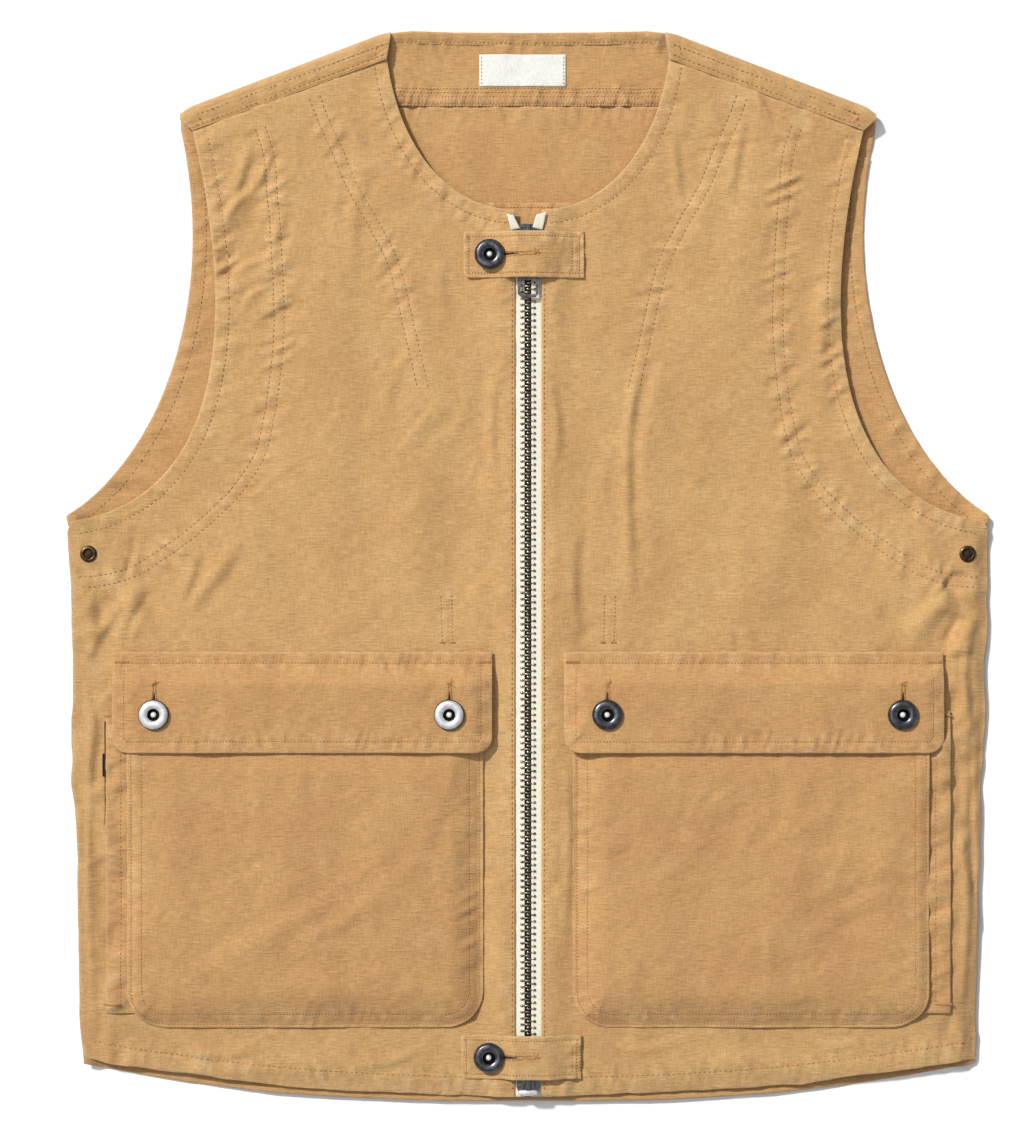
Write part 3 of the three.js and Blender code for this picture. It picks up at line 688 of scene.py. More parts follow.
POCKET_FOLDS = {
    "right": [
        Fold([(-205, -110), (-198, -170), (-208, -240)], 1.17, 12, 0.3),
        Fold([(-150, -108), (-140, -170), (-165, -235)], 0.91, 18),
        Fold([(-70, -110), (-85, -170), (-60, -240)], 1.04, 16),
        Fold([(-190, -225), (-120, -238), (-60, -226)], 0.91, 9, 0.4),
        Fold([(-192, -233), (-140, -205), (-87, -177)], 0.9, 7, 0.5),
        Fold([(-133, -219), (-92, -190), (-52, -160)], 0.8, 6, 0.5),
        Fold([(-215, -150), (-170, -160), (-120, -150)], 0.65, 12),
    ],
    "left": [
        Fold([(205, -110), (197, -175), (207, -240)], 1.3, 12, 0.3),
        Fold([(140, -108), (150, -165), (120, -235)], 1.04, 18),
        Fold([(60, -110), (76, -180), (58, -240)], 1.04, 15),
        Fold([(60, -228), (130, -240), (196, -226)], 1.04, 9, 0.4),
        Fold([(90, -150), (150, -172), (205, -158)], 0.65, 12),
    ],
}


def patch_height(side):
    base = base_height(side)
    front = calm_front(side)

    def height(x, y):
        across = np.abs(x)
        from_edge = np.minimum(across - PATCH_LOW[0], np.asarray(y) - PATCH_LOW[1])
        sewn = mix(front.height(x, y) + CANVAS + GAP, base(x, y) + CANVAS + 2 * GAP, ease(from_edge - 2, 9))
        high = np.maximum(PATCH_Z + CANVAS, sewn)
        inside = np.minimum(ease(from_edge, 20), ease(PATCH_HIGH[0] - across, 8))
        pressed = 1.3 * ease(np.asarray(y) + 118, 14)
        return mix(sewn, np.maximum(high - pressed, sewn), inside)

    return height


def patch_cloth(side):
    s = SIDES[side]
    edge = mirror(outline(PATCH_LOW, PATCH_HIGH, PATCH_RADIUS), s)
    seed = 400 + 50 * s
    seams = [Seam(edge, (2.2 * s, 8.2 * s), 0.22, 0.2, POCKET_PITCH, seed=seed)]
    small = creases(*on_side((32, -252), (216, -110), s), 42, seed + 30, 0.42)
    return Cloth(patch_height(side), seams, POCKET_FOLDS[side] + small, 0.46, seed + 20)


def flap_base(x, y):
    x = np.abs(x)
    droop = 3.4 * (1 - ease(x - FLAP_LOW[0], 13)) + 2.6 * (1 - ease(FLAP_HIGH[0] - x, 12))
    return 11.3 + (6.1 - droop) * ease(HINGE_Y - np.asarray(y), 12.5)


FLAP_FOLDS = {
    "right": [
        Fold([(-92, -60), (-88, -80), (-96, -104)], 0.65, 9, 0.3),
        Fold([(-150, -62), (-158, -82), (-150, -103)], 0.65, 12, 0.3),
        Fold([(-186, -60), (-190, -80), (-186, -100)], 0.45, 7),
    ],
    "left": [
        Fold([(92, -60), (98, -80), (90, -104)], 0.65, 10, 0.3),
        Fold([(164, -60), (158, -82), (168, -104)], 0.65, 11, 0.3),
        Fold([(126, -62), (122, -82), (128, -103)], 0.45, 8),
    ],
}


def flap_cloth(side):
    s = SIDES[side]
    edge = mirror(outline(FLAP_LOW, FLAP_HIGH, FLAP_RADIUS), s)
    across = mirror([(FLAP_LOW[0], HINGE_Y), (FLAP_HIGH[0], HINGE_Y)], s)
    seed = 600 + 50 * s
    seams = [
        Seam(edge, (6.6 * s,), 0.16, 0.34, POCKET_PITCH, seed=seed),
        Seam(across, (0.0,), 0.12, 0.34, POCKET_PITCH, seed=seed + 10),
    ]
    small = creases(*on_side((26, -100), (226, -62), s), 16, seed + 30, 0.35)
    spots = [flat_spot((s * x, BUTTON_Y), BUTTON_RADIUS) for x in BUTTON_XS]
    return Cloth(flap_base, seams, FLAP_FOLDS[side] + small, 0.36, seed + 20, spots)


def base_cloth(side):
    """The pocket base: its open side edge is hemmed with one row."""
    s = SIDES[side]
    opening = mirror([(BASE_HIGH[0], -50), (BASE_HIGH[0], BASE_SHOWN[0][1])], s)
    hem = Seam(opening, (-8.5 * s,), 0.25, 0.5, 2.4, seed=330 + s)
    return Cloth(base_height(side), [hem], (), 0.16, 340 + s)


PATCH = {side: patch_cloth(side) for side in SIDES}
FLAP = {side: flap_cloth(side) for side in SIDES}
BASE = {side: base_cloth(side) for side in SIDES}


# ---------- tabs ----------

TAB_HINGE = 24.6
TABS = {name: (cad(name)[0][:2], cad(name + "_end")[1][:2]) for name in ("neck_tab", "hem_tab")}


def tab_height(x, y):
    x = np.asarray(x, float)
    button_side = zip_lift(x) + 3.8 * ease(15 - np.abs(x), 8)
    sewn_side = 6.3 * (1 - ease(x - 4, 26))
    return FRONT_TOP + 0.4 + FLAP_CLOTH + np.where(x > 0, sewn_side, button_side)


def tab_cloth(name):
    low, high = TABS[name]
    ring = np.array([(high[0], low[1]), high, (low[0], high[1]), low, (high[0], low[1])])
    edge = np.vstack([np.linspace(a, b, 12)[:-1] for a, b in zip(ring, ring[1:])] + [ring[-1:]])
    seed = 800 if name == "neck_tab" else 850
    columns = [np.array([(x, low[1] + 1), (x, high[1] - 1)]) for x in (TAB_HINGE, TAB_HINGE + 4.2)]
    seams = [Seam(edge, (2.8,), 0.12, 0.3, TAB_PITCH, reach=3, seed=seed, ends=0.1)]
    seams += [Seam(points, (0.0,), 0.05, 0.2, TAB_PITCH, reach=3, seed=seed + 7) for points in columns]
    middle = centre_of(name + "_button_cap")[:2]
    still = [flat_spot(middle, BUTTON_RADIUS), lambda x, y: 0.25 + 0.75 * ease(np.abs(x) - 6, 6)]
    return Cloth(tab_height, seams, (), 0.34, seed + 20, still)


TAB = {name: tab_cloth(name) for name in TABS}


# ---------- materials ----------


def srgb(red, green, blue):
    """A linear colour from an sRGB one written as 0-255."""
    def linear(channel):
        c = channel / 255
        return c / 12.92 if c <= 0.04045 else ((c + 0.055) / 1.055) ** 2.4
    return (linear(red), linear(green), linear(blue), 1)


class Graph:
    """A material's node tree, with short calls to add and join nodes."""

    def __init__(self, name):
        self.material = bpy.data.materials.new(name)
        self.material.use_nodes = True
        self.tree = self.material.node_tree
        self.shader = self.tree.nodes["Principled BSDF"]

    def node(self, kind, **settings):
        node = self.tree.nodes.new("ShaderNode" + kind)
        for key, value in settings.items():
            setattr(node, key, value)
        return node

    def feed(self, socket, value):
        if isinstance(value, bpy.types.NodeSocket):
            self.tree.links.new(value, socket)
        else:
            socket.default_value = value

    def finish_with(self, **sockets):
        """Sets the shader's own sockets; an underscore stands for a space."""
        for key, value in sockets.items():
            self.feed(self.shader.inputs[key.replace("_", " ")], value)
        return self.material

    def math(self, operation, a, b=0.0):
        node = self.node("Math", operation=operation)
        self.feed(node.inputs[0], a)
        self.feed(node.inputs[1], b)
        return node.outputs[0]

    def blend(self, factor, a, b, how="MIX"):
        node = self.node("Mix", data_type="RGBA", blend_type=how)
        self.feed(node.inputs["Factor"], factor)
        self.feed(node.inputs[6], a)
        self.feed(node.inputs[7], b)
        return node.outputs[2]

    def attribute(self, name, output):
        return self.node("Attribute", attribute_name=name).outputs[output]

    def place(self, source, scale):
        """Coordinates in millimetres times the scale along each axis."""
        node = self.node("Mapping")
        self.feed(node.inputs["Vector"], source)
        node.inputs["Scale"].default_value = [1000 * s for s in scale]
        return node.outputs[0]

    def noise(self, source, scale, detail=2.0, rough=0.5):
        """Noise from 0 to 1 with the given number of swings for each millimetre."""
        node = self.node("TexNoise")
        node.inputs["Scale"].default_value = 1
        node.inputs["Detail"].default_value = detail
        node.inputs["Roughness"].default_value = rough
        self.feed(node.inputs["Vector"], self.place(source, scale))
        return node.outputs["Fac"]

    def spread(self, value, low, high, to_low=0.0, to_high=1.0):
        node = self.node("MapRange", clamp=True)
        for socket, number in zip(node.inputs, (value, low, high, to_low, to_high)):
            self.feed(socket, number)
        return node.outputs[0]

    def bump(self, height, distance, strength=1.0, under=None):
        node = self.node("Bump")
        node.inputs["Strength"].default_value = strength
        node.inputs["Distance"].default_value = distance * MM
        self.feed(node.inputs["Height"], height)
        if under:
            self.feed(node.inputs["Normal"], under)
        return node.outputs[0]


def canvas(name, colour, deep, faded_and_highlight_colour):
    """Cotton canvas: fine uneven ribs across, slubs, a brushed mottled dye, seams and edges lighter partly
    from rubbing and partly as painted highlight, darker towards the hem, and painted shade along the wearer's
    right side edge.
    """
    g = Graph(name)
    plan = g.attribute("plan", "Vector")
    ribs = g.noise(plan, (0.17, 1.15, 1), 2, 0.7)
    warp = g.noise(plan, (1.2, 0.14, 1), 1, 0.6)
    grain = g.noise(plan, (1.3, 1.5, 1), 2, 0.75)
    slub = g.spread(g.noise(plan, (0.06, 0.75, 1), 1, 0.5), 0.6, 0.74)
    patches = g.noise(plan, (0.022, 0.017, 1), 3, 0.55)
    streaks = g.noise(plan, (0.03, 0.05, 1), 3, 0.6)
    rubbed = g.noise(plan, (0.05, 0.07, 1), 4, 0.65)
    tone = g.blend(g.spread(patches, 0.3, 0.7), colour, deep)
    tone = g.blend(g.spread(streaks, 0.48, 0.8, 0, 0.22), tone, faded_and_highlight_colour)
    tone = g.blend(g.spread(rubbed, 0.56, 0.78, 0, 0.25), tone, faded_and_highlight_colour)
    # Lightening along seams, pucker crests and edges: partly rubbed, partly painted highlight.
    wear = g.math("MULTIPLY", g.attribute("rubbed_and_highlit", "Fac"), g.spread(rubbed, 0.3, 0.62, 0.25, 1))
    wear = g.math("MULTIPLY", wear, g.spread(grain, 0.35, 0.6, 0.35, 0.9))
    tone = g.blend(wear, tone, faded_and_highlight_colour)
    weave = g.math("ADD", g.math("MULTIPLY", ribs, 0.5), g.math("MULTIPLY", warp, 0.22))
    weave = g.math("ADD", weave, g.math("MULTIPLY", grain, 0.28))
    shade = g.spread(weave, 0.36, 0.64, 0.75, 1.2)
    place = g.node("SeparateXYZ")
    g.feed(place.inputs[0], plan)
    # Darker towards the hem.
    shade = g.math("MULTIPLY", shade, g.spread(place.outputs["Y"], -0.28, -0.2, 0.92, 1.0))
    # Painted shade: darker along the wearer's right side edge.
    shade = g.math("MULTIPLY", shade, g.spread(place.outputs["X"], -0.252, -0.222, 0.87, 1.0))
    shade = g.math("ADD", shade, g.math("MULTIPLY", slub, 0.05))
    grey = g.node("CombineColor")
    for socket in grey.inputs:
        g.feed(socket, shade)
    tone = g.blend(1.0, tone, grey.outputs[0], "MULTIPLY")
    relief = g.math("ADD", weave, g.math("MULTIPLY", slub, 0.25))
    coarse = g.bump(g.noise(plan, (0.1, 0.16, 1), 3, 0.55), 0.8, 0.5)
    normal = g.bump(relief, 0.6, 0.85, coarse)
    rough = g.spread(weave, 0.3, 0.7, 0.96, 0.84)
    return g.finish_with(
        Base_Color=tone, Roughness=rough, Normal=normal, Sheen_Weight=0.18, Sheen_Roughness=0.5,
        Specular_IOR_Level=0.18,
    )


def object_place(g):
    return g.node("TexCoord").outputs["Object"]


def thread(name, colour, dark):
    """Sewing thread with a slight twist and an uneven dye."""
    g = Graph(name)
    at = object_place(g)
    fibre = g.noise(at, (2.2, 2.2, 2.2), 2, 0.6)
    dye = g.noise(at, (0.05, 0.05, 0.05), 2)
    tone = g.blend(g.spread(dye, 0.35, 0.65), colour, dark)
    tone = g.blend(g.spread(fibre, 0.4, 0.7, 0, 0.5), tone, dark)
    return g.finish_with(
        Base_Color=tone, Roughness=g.spread(fibre, 0.3, 0.7, 0.6, 0.85), Normal=g.bump(fibre, 0.15, 0.6),
        Sheen_Weight=0.15, Specular_IOR_Level=0.3,
    )


def tape_cloth(name, colour, dark):
    """Cotton zip tape in a herringbone of fine slanted threads."""
    g = Graph(name)
    at = object_place(g)
    rows = g.node("TexWave", wave_type="BANDS", bands_direction="Y")
    g.feed(rows.inputs["Vector"], g.place(at, (0.2, 0.33, 1)))
    rows.inputs["Scale"].default_value = 3.1
    rows.inputs["Distortion"].default_value = 1.5
    rows.inputs["Detail"].default_value = 1
    fibre = g.noise(at, (1.6, 2.4, 1), 2, 0.6)
    age = g.noise(at, (0.06, 0.03, 1), 3)
    weave = g.math("ADD", g.math("MULTIPLY", rows.outputs["Fac"], 0.55), g.math("MULTIPLY", fibre, 0.45))
    tone = g.blend(g.spread(weave, 0.25, 0.75), dark, colour)
    tone = g.blend(g.spread(age, 0.45, 0.75, 0, 0.5), tone, dark)
    return g.finish_with(
        Base_Color=tone, Roughness=g.spread(fibre, 0.3, 0.7, 0.8, 0.95), Normal=g.bump(weave, 0.3, 0.7),
        Sheen_Weight=0.1, Specular_IOR_Level=0.25,
    )


def label_cloth():
    """A plain woven label: a smooth satin ground with fine ribs."""
    g = Graph("label_weave")
    at = object_place(g)
    ribs = g.node("TexWave", wave_type="BANDS", bands_direction="Y")
    g.feed(ribs.inputs["Vector"], g.place(at, (0.2, 1, 1)))
    ribs.inputs["Scale"].default_value = 0.55
    ribs.inputs["Distortion"].default_value = 0.6
    fibre = g.noise(at, (2.5, 0.5, 1), 2, 0.6)
    tone = g.blend(g.spread(fibre, 0.35, 0.7), srgb(247, 246, 240), srgb(222, 220, 210))
    tone = g.blend(g.math("MULTIPLY", ribs.outputs["Fac"], 0.25), tone, srgb(205, 203, 194))
    return g.finish_with(
        Base_Color=tone, Roughness=g.spread(fibre, 0.3, 0.7, 0.55, 0.75),
        Normal=g.bump(ribs.outputs["Fac"], 0.12, 0.6), Sheen_Weight=0.2,
    )


def metal(name, colour, dark, roughness, scratch=0.6, metallic=1.0):
    """Plated metal: a mottled tone, brighter where it is rubbed, with fine scuffs."""
    g = Graph(name)
    at = object_place(g)
    cloud = g.noise(at, (0.35, 0.35, 0.35), 3, 0.6)
    scuffs = g.noise(at, (3.0, 0.5, 1.5), 3, 0.65)
    pits = g.noise(at, (2.8, 2.8, 2.8), 2, 0.6)
    tone = g.blend(g.spread(cloud, 0.35, 0.65), colour, dark)
    tone = g.blend(g.spread(scuffs, 0.6, 0.75, 0, scratch), tone, colour)
    rough = g.spread(scuffs, 0.35, 0.7, roughness - 0.08, roughness + 0.14)
    normal = g.bump(pits, 0.05, 0.5, g.bump(scuffs, 0.04, 0.4))
    return g.finish_with(Base_Color=tone, Metallic=metallic, Roughness=rough, Normal=normal)


TAN = (srgb(198, 158, 105), srgb(190, 147, 97), srgb(214, 181, 134))
POCKET_TAN = (srgb(191, 149, 97), srgb(184, 138, 92), srgb(208, 171, 124))
INNER_TAN = (srgb(195, 152, 100), srgb(187, 142, 93), srgb(206, 168, 121))
MATERIALS = {
    "canvas": canvas("canvas_body", *TAN),
    "pocket": canvas("canvas_pocket", *POCKET_TAN),
    "inner": canvas("canvas_inner", *INNER_TAN),
    "thread": thread("thread_tan", srgb(190, 138, 84), srgb(166, 115, 66)),
    "overlock": thread("thread_overlock", srgb(212, 170, 118), srgb(190, 147, 98)),
    "buttonhole": thread("thread_buttonhole", srgb(200, 154, 98), srgb(158, 110, 62)),
    # Painted shadow for slits, the hand pocket's opening and the eyelets' bores.
    "slit": thread("slit_shadow", srgb(66, 40, 20), srgb(38, 24, 12)),
    "tape": tape_cloth("zip_tape_cotton", srgb(255, 253, 236), srgb(249, 242, 219)),
    "loop": tape_cloth("black_tape", srgb(34, 32, 31), srgb(18, 17, 17)),
    "label": label_cloth(),
    "gunmetal": metal("gunmetal", srgb(112, 114, 120), srgb(74, 75, 80), 0.3, 0.4),
    # Pale steel as a painted reflection on the right pocket's buttons and a painted highlight on the slider
    # bar.
    "steel": metal("steel_painted_reflection", srgb(224, 225, 227), srgb(198, 199, 202), 0.45, 0.4, 0.5),
    "pull_metal": metal("dark_gunmetal", srgb(122, 120, 116), srgb(78, 76, 72), 0.34, 0.5, 0.9),
    "slider_metal": metal("scuffed_gunmetal", srgb(124, 122, 117), srgb(70, 68, 64), 0.28, 0.6),
    # Painted shade for the deep middle of the buttons and the outer edge of the pale ones.
    "painted_shade": metal("button_well", srgb(30, 30, 32), srgb(16, 16, 17), 0.55, 0.2),
    # Near-white steel for the nail tips, partly a painted highlight of their glint.
    "bright": metal("nail_steel", srgb(252, 251, 247), srgb(226, 225, 220), 0.42, 0.3, 0.35),
    "zip_metal": metal("zip_antique", srgb(172, 164, 146), srgb(92, 86, 73), 0.28),
    "brass": metal("eyelet_brass", srgb(104, 84, 58), srgb(58, 46, 32), 0.36),
}
SLOTS = {
    **dict.fromkeys(("canvas", "pocket", "inner", "thread", "buttonhole", "overlock", "slit"), "canvas"),
    **dict.fromkeys(("gunmetal", "steel", "bright", "pull_metal", "slider_metal", "painted_shade"), "gunmetal"),
    "tape": "zip_tape", "loop": "zip_tape", "label": "neck_label", "zip_metal": "zip_metal",
    "brass": "dark_brass",
}


def finish_piece(obj, material, body="vest", nodes=()):
    """Gives a piece its material, its body and the CAD nodes that it stands for."""
    obj.data.materials.clear()
    obj.data.materials.append(MATERIALS[material])
    if body:
        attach(obj, body)
    if nodes:
        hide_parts(*nodes)


def lay(name, x, y, cloth, thickness, material, rests_on, nodes=(), bend=None, flat=None, **options):
    """A sheet of cloth over the plan (x, y), given its material and the CAD nodes it stands for; with a bend,
    it gets no body and the bend is called on it.
    """
    obj = cloth_piece(name, x, y, cloth, thickness, **options)
    finish_piece(obj, material, None if bend else "vest", nodes)
    if bend:
        bend(obj)


# ---------- cloth pieces ----------


BACK_GRID = 0.62  # the hidden back has a wider grid than the front


def make_back():
    hem = np.vstack([mirror(BACK_HEM, -1), BACK_HEM[::-1][1:]])
    arm = BACK_ARMHOLE[BACK_ARMHOLE[:, 1] < YOKE_TIP[1] - 2]
    side = np.vstack([SIDE[1:] - [1.4, 0], arm, [YOKE_TIP]])
    side[0] = BACK_HEM[0]
    columns, rows = grid_lines(500 * BACK_GRID), grid_lines(540 * BACK_GRID)
    x, y = coons(hem, YOKE_SEAM, mirror(side, -1), side, columns, rows)
    for s, edge in ((-1, x[:, :1]), (1, x[:, -1:])):
        x = x + s * side_sway(y, s) * bump(x - edge, 14)
    seams = [Seam(mirror(BACK_ARMHOLE, s), (BAND * s,), 0.34, 0.4, seed=900 + s) for s in SIDES.values()]
    seams.append(Seam(YOKE_SEAM - [0, 4], (0.0,), 0.2, 0.4, 2.2, seed=910))
    folds = [
        Fold([(-30, 250), (-36, 215), (-22, 190)], 0.9, 10, 0.3),
        Fold([(46, 246), (30, 220), (34, 196)], 0.7, 9, 0.3),
        Fold([(-214, 60), (-196, 100), (-180, 160)], 0.7, 7),
        Fold([(214, 60), (196, 100), (182, 160)], 0.7, 7),
    ]

    def lie(px, py):
        hem_y = np.interp(np.abs(px), BACK_HEM[::-1, 0], BACK_HEM[::-1, 1])
        low = 1.5 + 2.6 * (1 - ease(py - hem_y, 14)) * (1 - ease(np.abs(px) - 140, 50))
        side_x = np.interp(py, SIDE[:, 1], SIDE[:, 0])
        joined = (1 - ease(side_x - 2 - np.abs(px), 12)) * ease(36 - py, 12)
        for front_side, s in SIDES.items():
            near = (s * px > 200) & (joined > 0.001)
            under = FRONT[front_side].height(px[near], py[near]) - CANVAS - 0.1
            low[near] = mix(low[near], under, joined[near])
        return low

    cloth = Cloth(lie, seams, folds, 0.3, 920)
    lay("back_body", x, y, cloth, CANVAS, "inner", ["floor"], ["back_panel"])
    return cloth


def make_yoke_back():
    seam = resample(YOKE_SEAM, np.linspace(0, 1, 120))
    tip = (SHOULDER_TIP, shoulder_fold_y(SHOULDER_TIP) - FOLD_RADIUS)
    half = np.array([(0, NECK_Y - 0.6), (40, NECK_Y - 0.4), (66, NECK_Y), (79, NECK_Y - 1.4), tip], float)
    top = np.vstack([mirror(half[::-1], -1), half[1:]])
    side = np.vstack([[YOKE_TIP], BACK_ARMHOLE[BACK_ARMHOLE[:, 1] > YOKE_TIP[1] + 2][:-1], [tip]])
    x, y = coons(seam, top, mirror(side, -1), side, grid_lines(390), grid_lines(60))
    neck_edge = np.array([(-SHOULDER_NECK, NECK_Y + 1.4), (0, NECK_Y), (SHOULDER_NECK, NECK_Y + 1.4)])
    seams = [
        Seam(seam + [0, 3.5], (-2.2, 2.2), 0.35, 0.5, 2.0, seed=930),
        Seam(neck_edge, (-7.0,), 0.25, 0.35, 2.4, seed=940),
    ]

    def rise(px, py):
        near_neck = bump(np.maximum(NECK_Y - py, 0), 7)
        at_arm = 1.1 * ease(np.abs(px) - 150, 30)
        seam_y = np.interp(px, YOKE_SEAM[:, 0], YOKE_SEAM[:, 1])
        pressed = 0.8 * (1 - ease(py - seam_y - 1, 7))
        return 2.8 - at_arm - pressed + near_neck * (0.9 + 1.7 * ease(np.abs(px) - 30, 44))

    cloth = Cloth(rise, seams, (), 0.26, 950)
    lay("yoke_back", x, y, cloth, CANVAS, "inner", ["back_body"], ["back_yoke"], edge=2.2)
    return cloth


def shoulder_surface(side, inner):
    """A function from (share from neck to tip, length over the fold) to a place on a shoulder of the yoke."""
    s = SIDES[side]
    radius = FOLD_RADIUS - (CANVAS if inner else 0)
    seam_a, seam_b = NECKLINE[-1], FRONT_ARMHOLE[-1]

    def place(u, v):
        seam_x, seam_y = mix(seam_a[0], seam_b[0], u), mix(seam_a[1], seam_b[1], u)
        back_x = mix(SHOULDER_NECK, SHOULDER_TIP, u)
        neck_round = 0.9 * (1 - ease(u * SHOULDER_LENGTH, 10)) ** 2
        neck_round = neck_round + 1.6 * (1 - ease((1 - u) * SHOULDER_LENGTH, 8)) ** 2
        centre = shoulder_fold_y(back_x) - FOLD_RADIUS - neck_round
        angle = math.pi * np.clip((v - 0.12) / 0.33, 0, 1)
        flat = np.clip((v - 0.45) / 0.55, 0, 1)
        y = np.where(v < 0.12, centre - 5 * (1 - v / 0.12), centre + radius * np.sin(angle))
        y = np.where(v > 0.45, mix(centre, seam_y - 0.4, flat), y)
        x = mix(back_x, seam_x, flat)
        z = FOLD_RADIUS - radius * np.cos(angle)
        return s * x, y, z

    return place


SHOULDER_SEAM_ROWS = (2.2, 8.0)


def shoulder_relief(side, u, y, seam_y):
    """The ridge and puckers beside the front seam of the yoke, and the soft waves along the fold."""
    seed = 960 + SIDES[side]
    beyond = y - seam_y
    along = u * 120
    wave = noise_1d(along / 5.2, seed) + 0.6 * noise_1d(along / 2.9, seed + 5)
    lift = 0.3 * (1 - ease(beyond - 8.6, 1.4)) + 0.36 * wave * bump(np.maximum(beyond - 8, 0), 4.5)
    for row in SHOULDER_SEAM_ROWS:
        lift = lift - 0.3 * bump(beyond - row, 1.0)
    to_end = np.minimum(along, SHOULDER_LENGTH - along)
    crinkle = noise_1d((beyond + 0.4 * along) / 3.4, seed + 11)
    band = 0.35 * (1 - ease(to_end - BAND, 1.4)) - 0.35 * bump(to_end - BAND, 1.0)
    band = band + 0.5 * crinkle * bump(np.maximum(to_end - BAND, 0), 4)
    return lift + band + 0.7 * noise_1d(along / 19, seed + 9) - 0.6 * bump(beyond, 0.8)


def make_shoulder(side):
    s = SIDES[side]
    u = grid_lines(116)[None, :]
    under, over, front = np.linspace(0, 0.12, 5), np.linspace(0.12, 0.45, 15), np.linspace(0.45, 1, 34)
    v = np.concatenate([under[:-1], over[:-1], front])[:, None]
    layers = []
    for inner in (False, True):
        surface = shoulder_surface(side, inner)(u, v)
        x, y, z = (np.broadcast_to(part, (v.size, u.size)) for part in surface)
        seam_y = np.broadcast_to(mix(NECKLINE[-1][1], FRONT_ARMHOLE[-1][1], u), y.shape)
        on_front = ease(v - 0.3, 0.2)
        relief = shoulder_relief(side, u, y, seam_y) * on_front
        edge_gap = np.minimum(u * 116, (1 - u) * 116)
        roll = 0.45 * (1 - np.sqrt(np.clip(edge_gap / 1.2, 0, 1))) * (-1 if inner else 1)
        layers.append(np.stack([x, y, z + relief - roll * on_front], axis=-1))
    vertices = np.concatenate([layer.reshape(-1, 3) for layer in layers])
    faces = shell_faces(v.size, u.size)
    if s > 0:
        faces = faces[:, ::-1]
    obj = make_mesh(side + "_shoulder", vertices, faces.tolist())
    across = np.broadcast_to(u * SHOULDER_LENGTH, layers[0].shape[:2])
    around = np.broadcast_to(v * 42 + 250, layers[0].shape[:2])
    plan = np.column_stack([across.ravel() * s, around.ravel(), np.zeros(across.size)]) * MM
    point_attribute(obj, "plan", np.vstack([plan, plan]))
    # Lighter colour at the ends, along the crest of the fold and beside the front seam: partly rubbed, partly
    # painted highlight.
    rubbed_and_highlit = np.maximum(0.8 * bump(edge_gap, 1.6), 0.35 * bump((v - 0.3) * 42, 3))
    rubbed_and_highlit = rubbed_and_highlit + 0.3 * bump(y - seam_y - 9, 2)
    rubbed_and_highlit = np.broadcast_to(rubbed_and_highlit, across.shape).ravel()
    point_attribute(obj, "rubbed_and_highlit", np.concatenate([rubbed_and_highlit, rubbed_and_highlit]))
    finish_piece(obj, "canvas", "vest")


def shoulder_stitches(side):
    """Where the stitches of a shoulder's front seam lie: (start, end, height at a place)."""
    s = SIDES[side]
    a, b = np.array(NECKLINE[-1]), np.array(FRONT_ARMHOLE[-1])
    rows = []
    for row in SHOULDER_SEAM_ROWS:
        rows.append(mirror(np.linspace(a + [1.5, row], b + [-1.5, row], 30), s))
    for u in (BAND / SHOULDER_LENGTH, 1 - BAND / SHOULDER_LENGTH):
        foot = mix(a, b, u)
        top_x = mix(SHOULDER_NECK, SHOULDER_TIP, u)
        top = np.array([top_x, shoulder_fold_y(top_x) - 5])
        rows.append(mirror(np.linspace(foot + [0, 0.8], top, 16), s))

    def height(x, y):
        u = np.clip((np.abs(x) - a[0]) / (b[0] - a[0]), 0, 1)
        seam_y = mix(a[1], b[1], u)
        return 2 * FOLD_RADIUS + shoulder_relief(side, u, y, seam_y)

    return rows, height


def make_front(side):
    x, y = front_plan(side)
    lay(side + "_front", x, y, FRONT[side], CANVAS, "canvas", ["back_body"],
        [side + "_front_panel"], edge=1.6)


def strip_plan(points, inside, length_step=3.0):
    """A plan grid for a narrow strip beside a line."""
    total = length_along(points)[-1]
    rows = np.linspace(0, 1, max(4, int(total / length_step)))
    a = resample(points, rows)
    b = resample(outset(points, inside), rows)
    return ruled(a, b, np.linspace(0, 1, 8))


def make_facings(side):
    """The strips under the front panel's edges."""
    s = SIDES[side]
    under = Cloth(lambda px, py: np.full(np.shape(px), FRONT_TOP - CANVAS - GAP), (), (), 0.12, 980)
    part = lambda line, a, b: line[int(a * len(line)):int(b * len(line))]
    strips = {
        "armhole_facing": (part(FRONT_ARMHOLE, 0.1, 0.99), 9.0),
        "neck_facing": (part(NECKLINE, 0.16, 0.99), -9.0),
        "hem_facing": (hem_line()[3:-2] + [0, 0.6], 9.0),
        "zip_facing": (np.array([(ZIP_EDGE + 0.8, -297), (ZIP_EDGE + 0.8, 194)]), -8.3),
    }
    for name, (points, inside) in strips.items():
        x, y = strip_plan(points, inside)
        lift = 1.2 if name == "zip_facing" else 0.0
        node = side + "_" + name
        flat = (abs(inside), length_along(points)[-1])
        lay(node + "_strip", s * x, y, under, FACING, "inner", [side + "_front"], [node],
            flat=flat, edge=0.8, lift=lift)


def make_neck_facing(yoke):
    x = np.linspace(-79, 79, 100)
    top = np.interp(np.abs(x), (0, 40, 66, 79), NECK_Y - np.array([0.6, 0.4, 0.0, 1.4]))
    upper, lower = np.column_stack([x, top]), np.column_stack([x, top - 7])
    px, py = ruled(lower, upper, np.linspace(0, 1, 9))
    lie = lambda a, b: yoke.height(a, b) + 0.3 * FACING
    cloth = Cloth(lie, [Seam(lower, (1.6,), 0.1, 0.2, 2.4, seed=990)], (), 0.1, 995)
    lay("neck_facing_strip", px, py, cloth, FACING, "inner", ["yoke_back"], ["back_neck_facing"], edge=0.8)
    return cloth


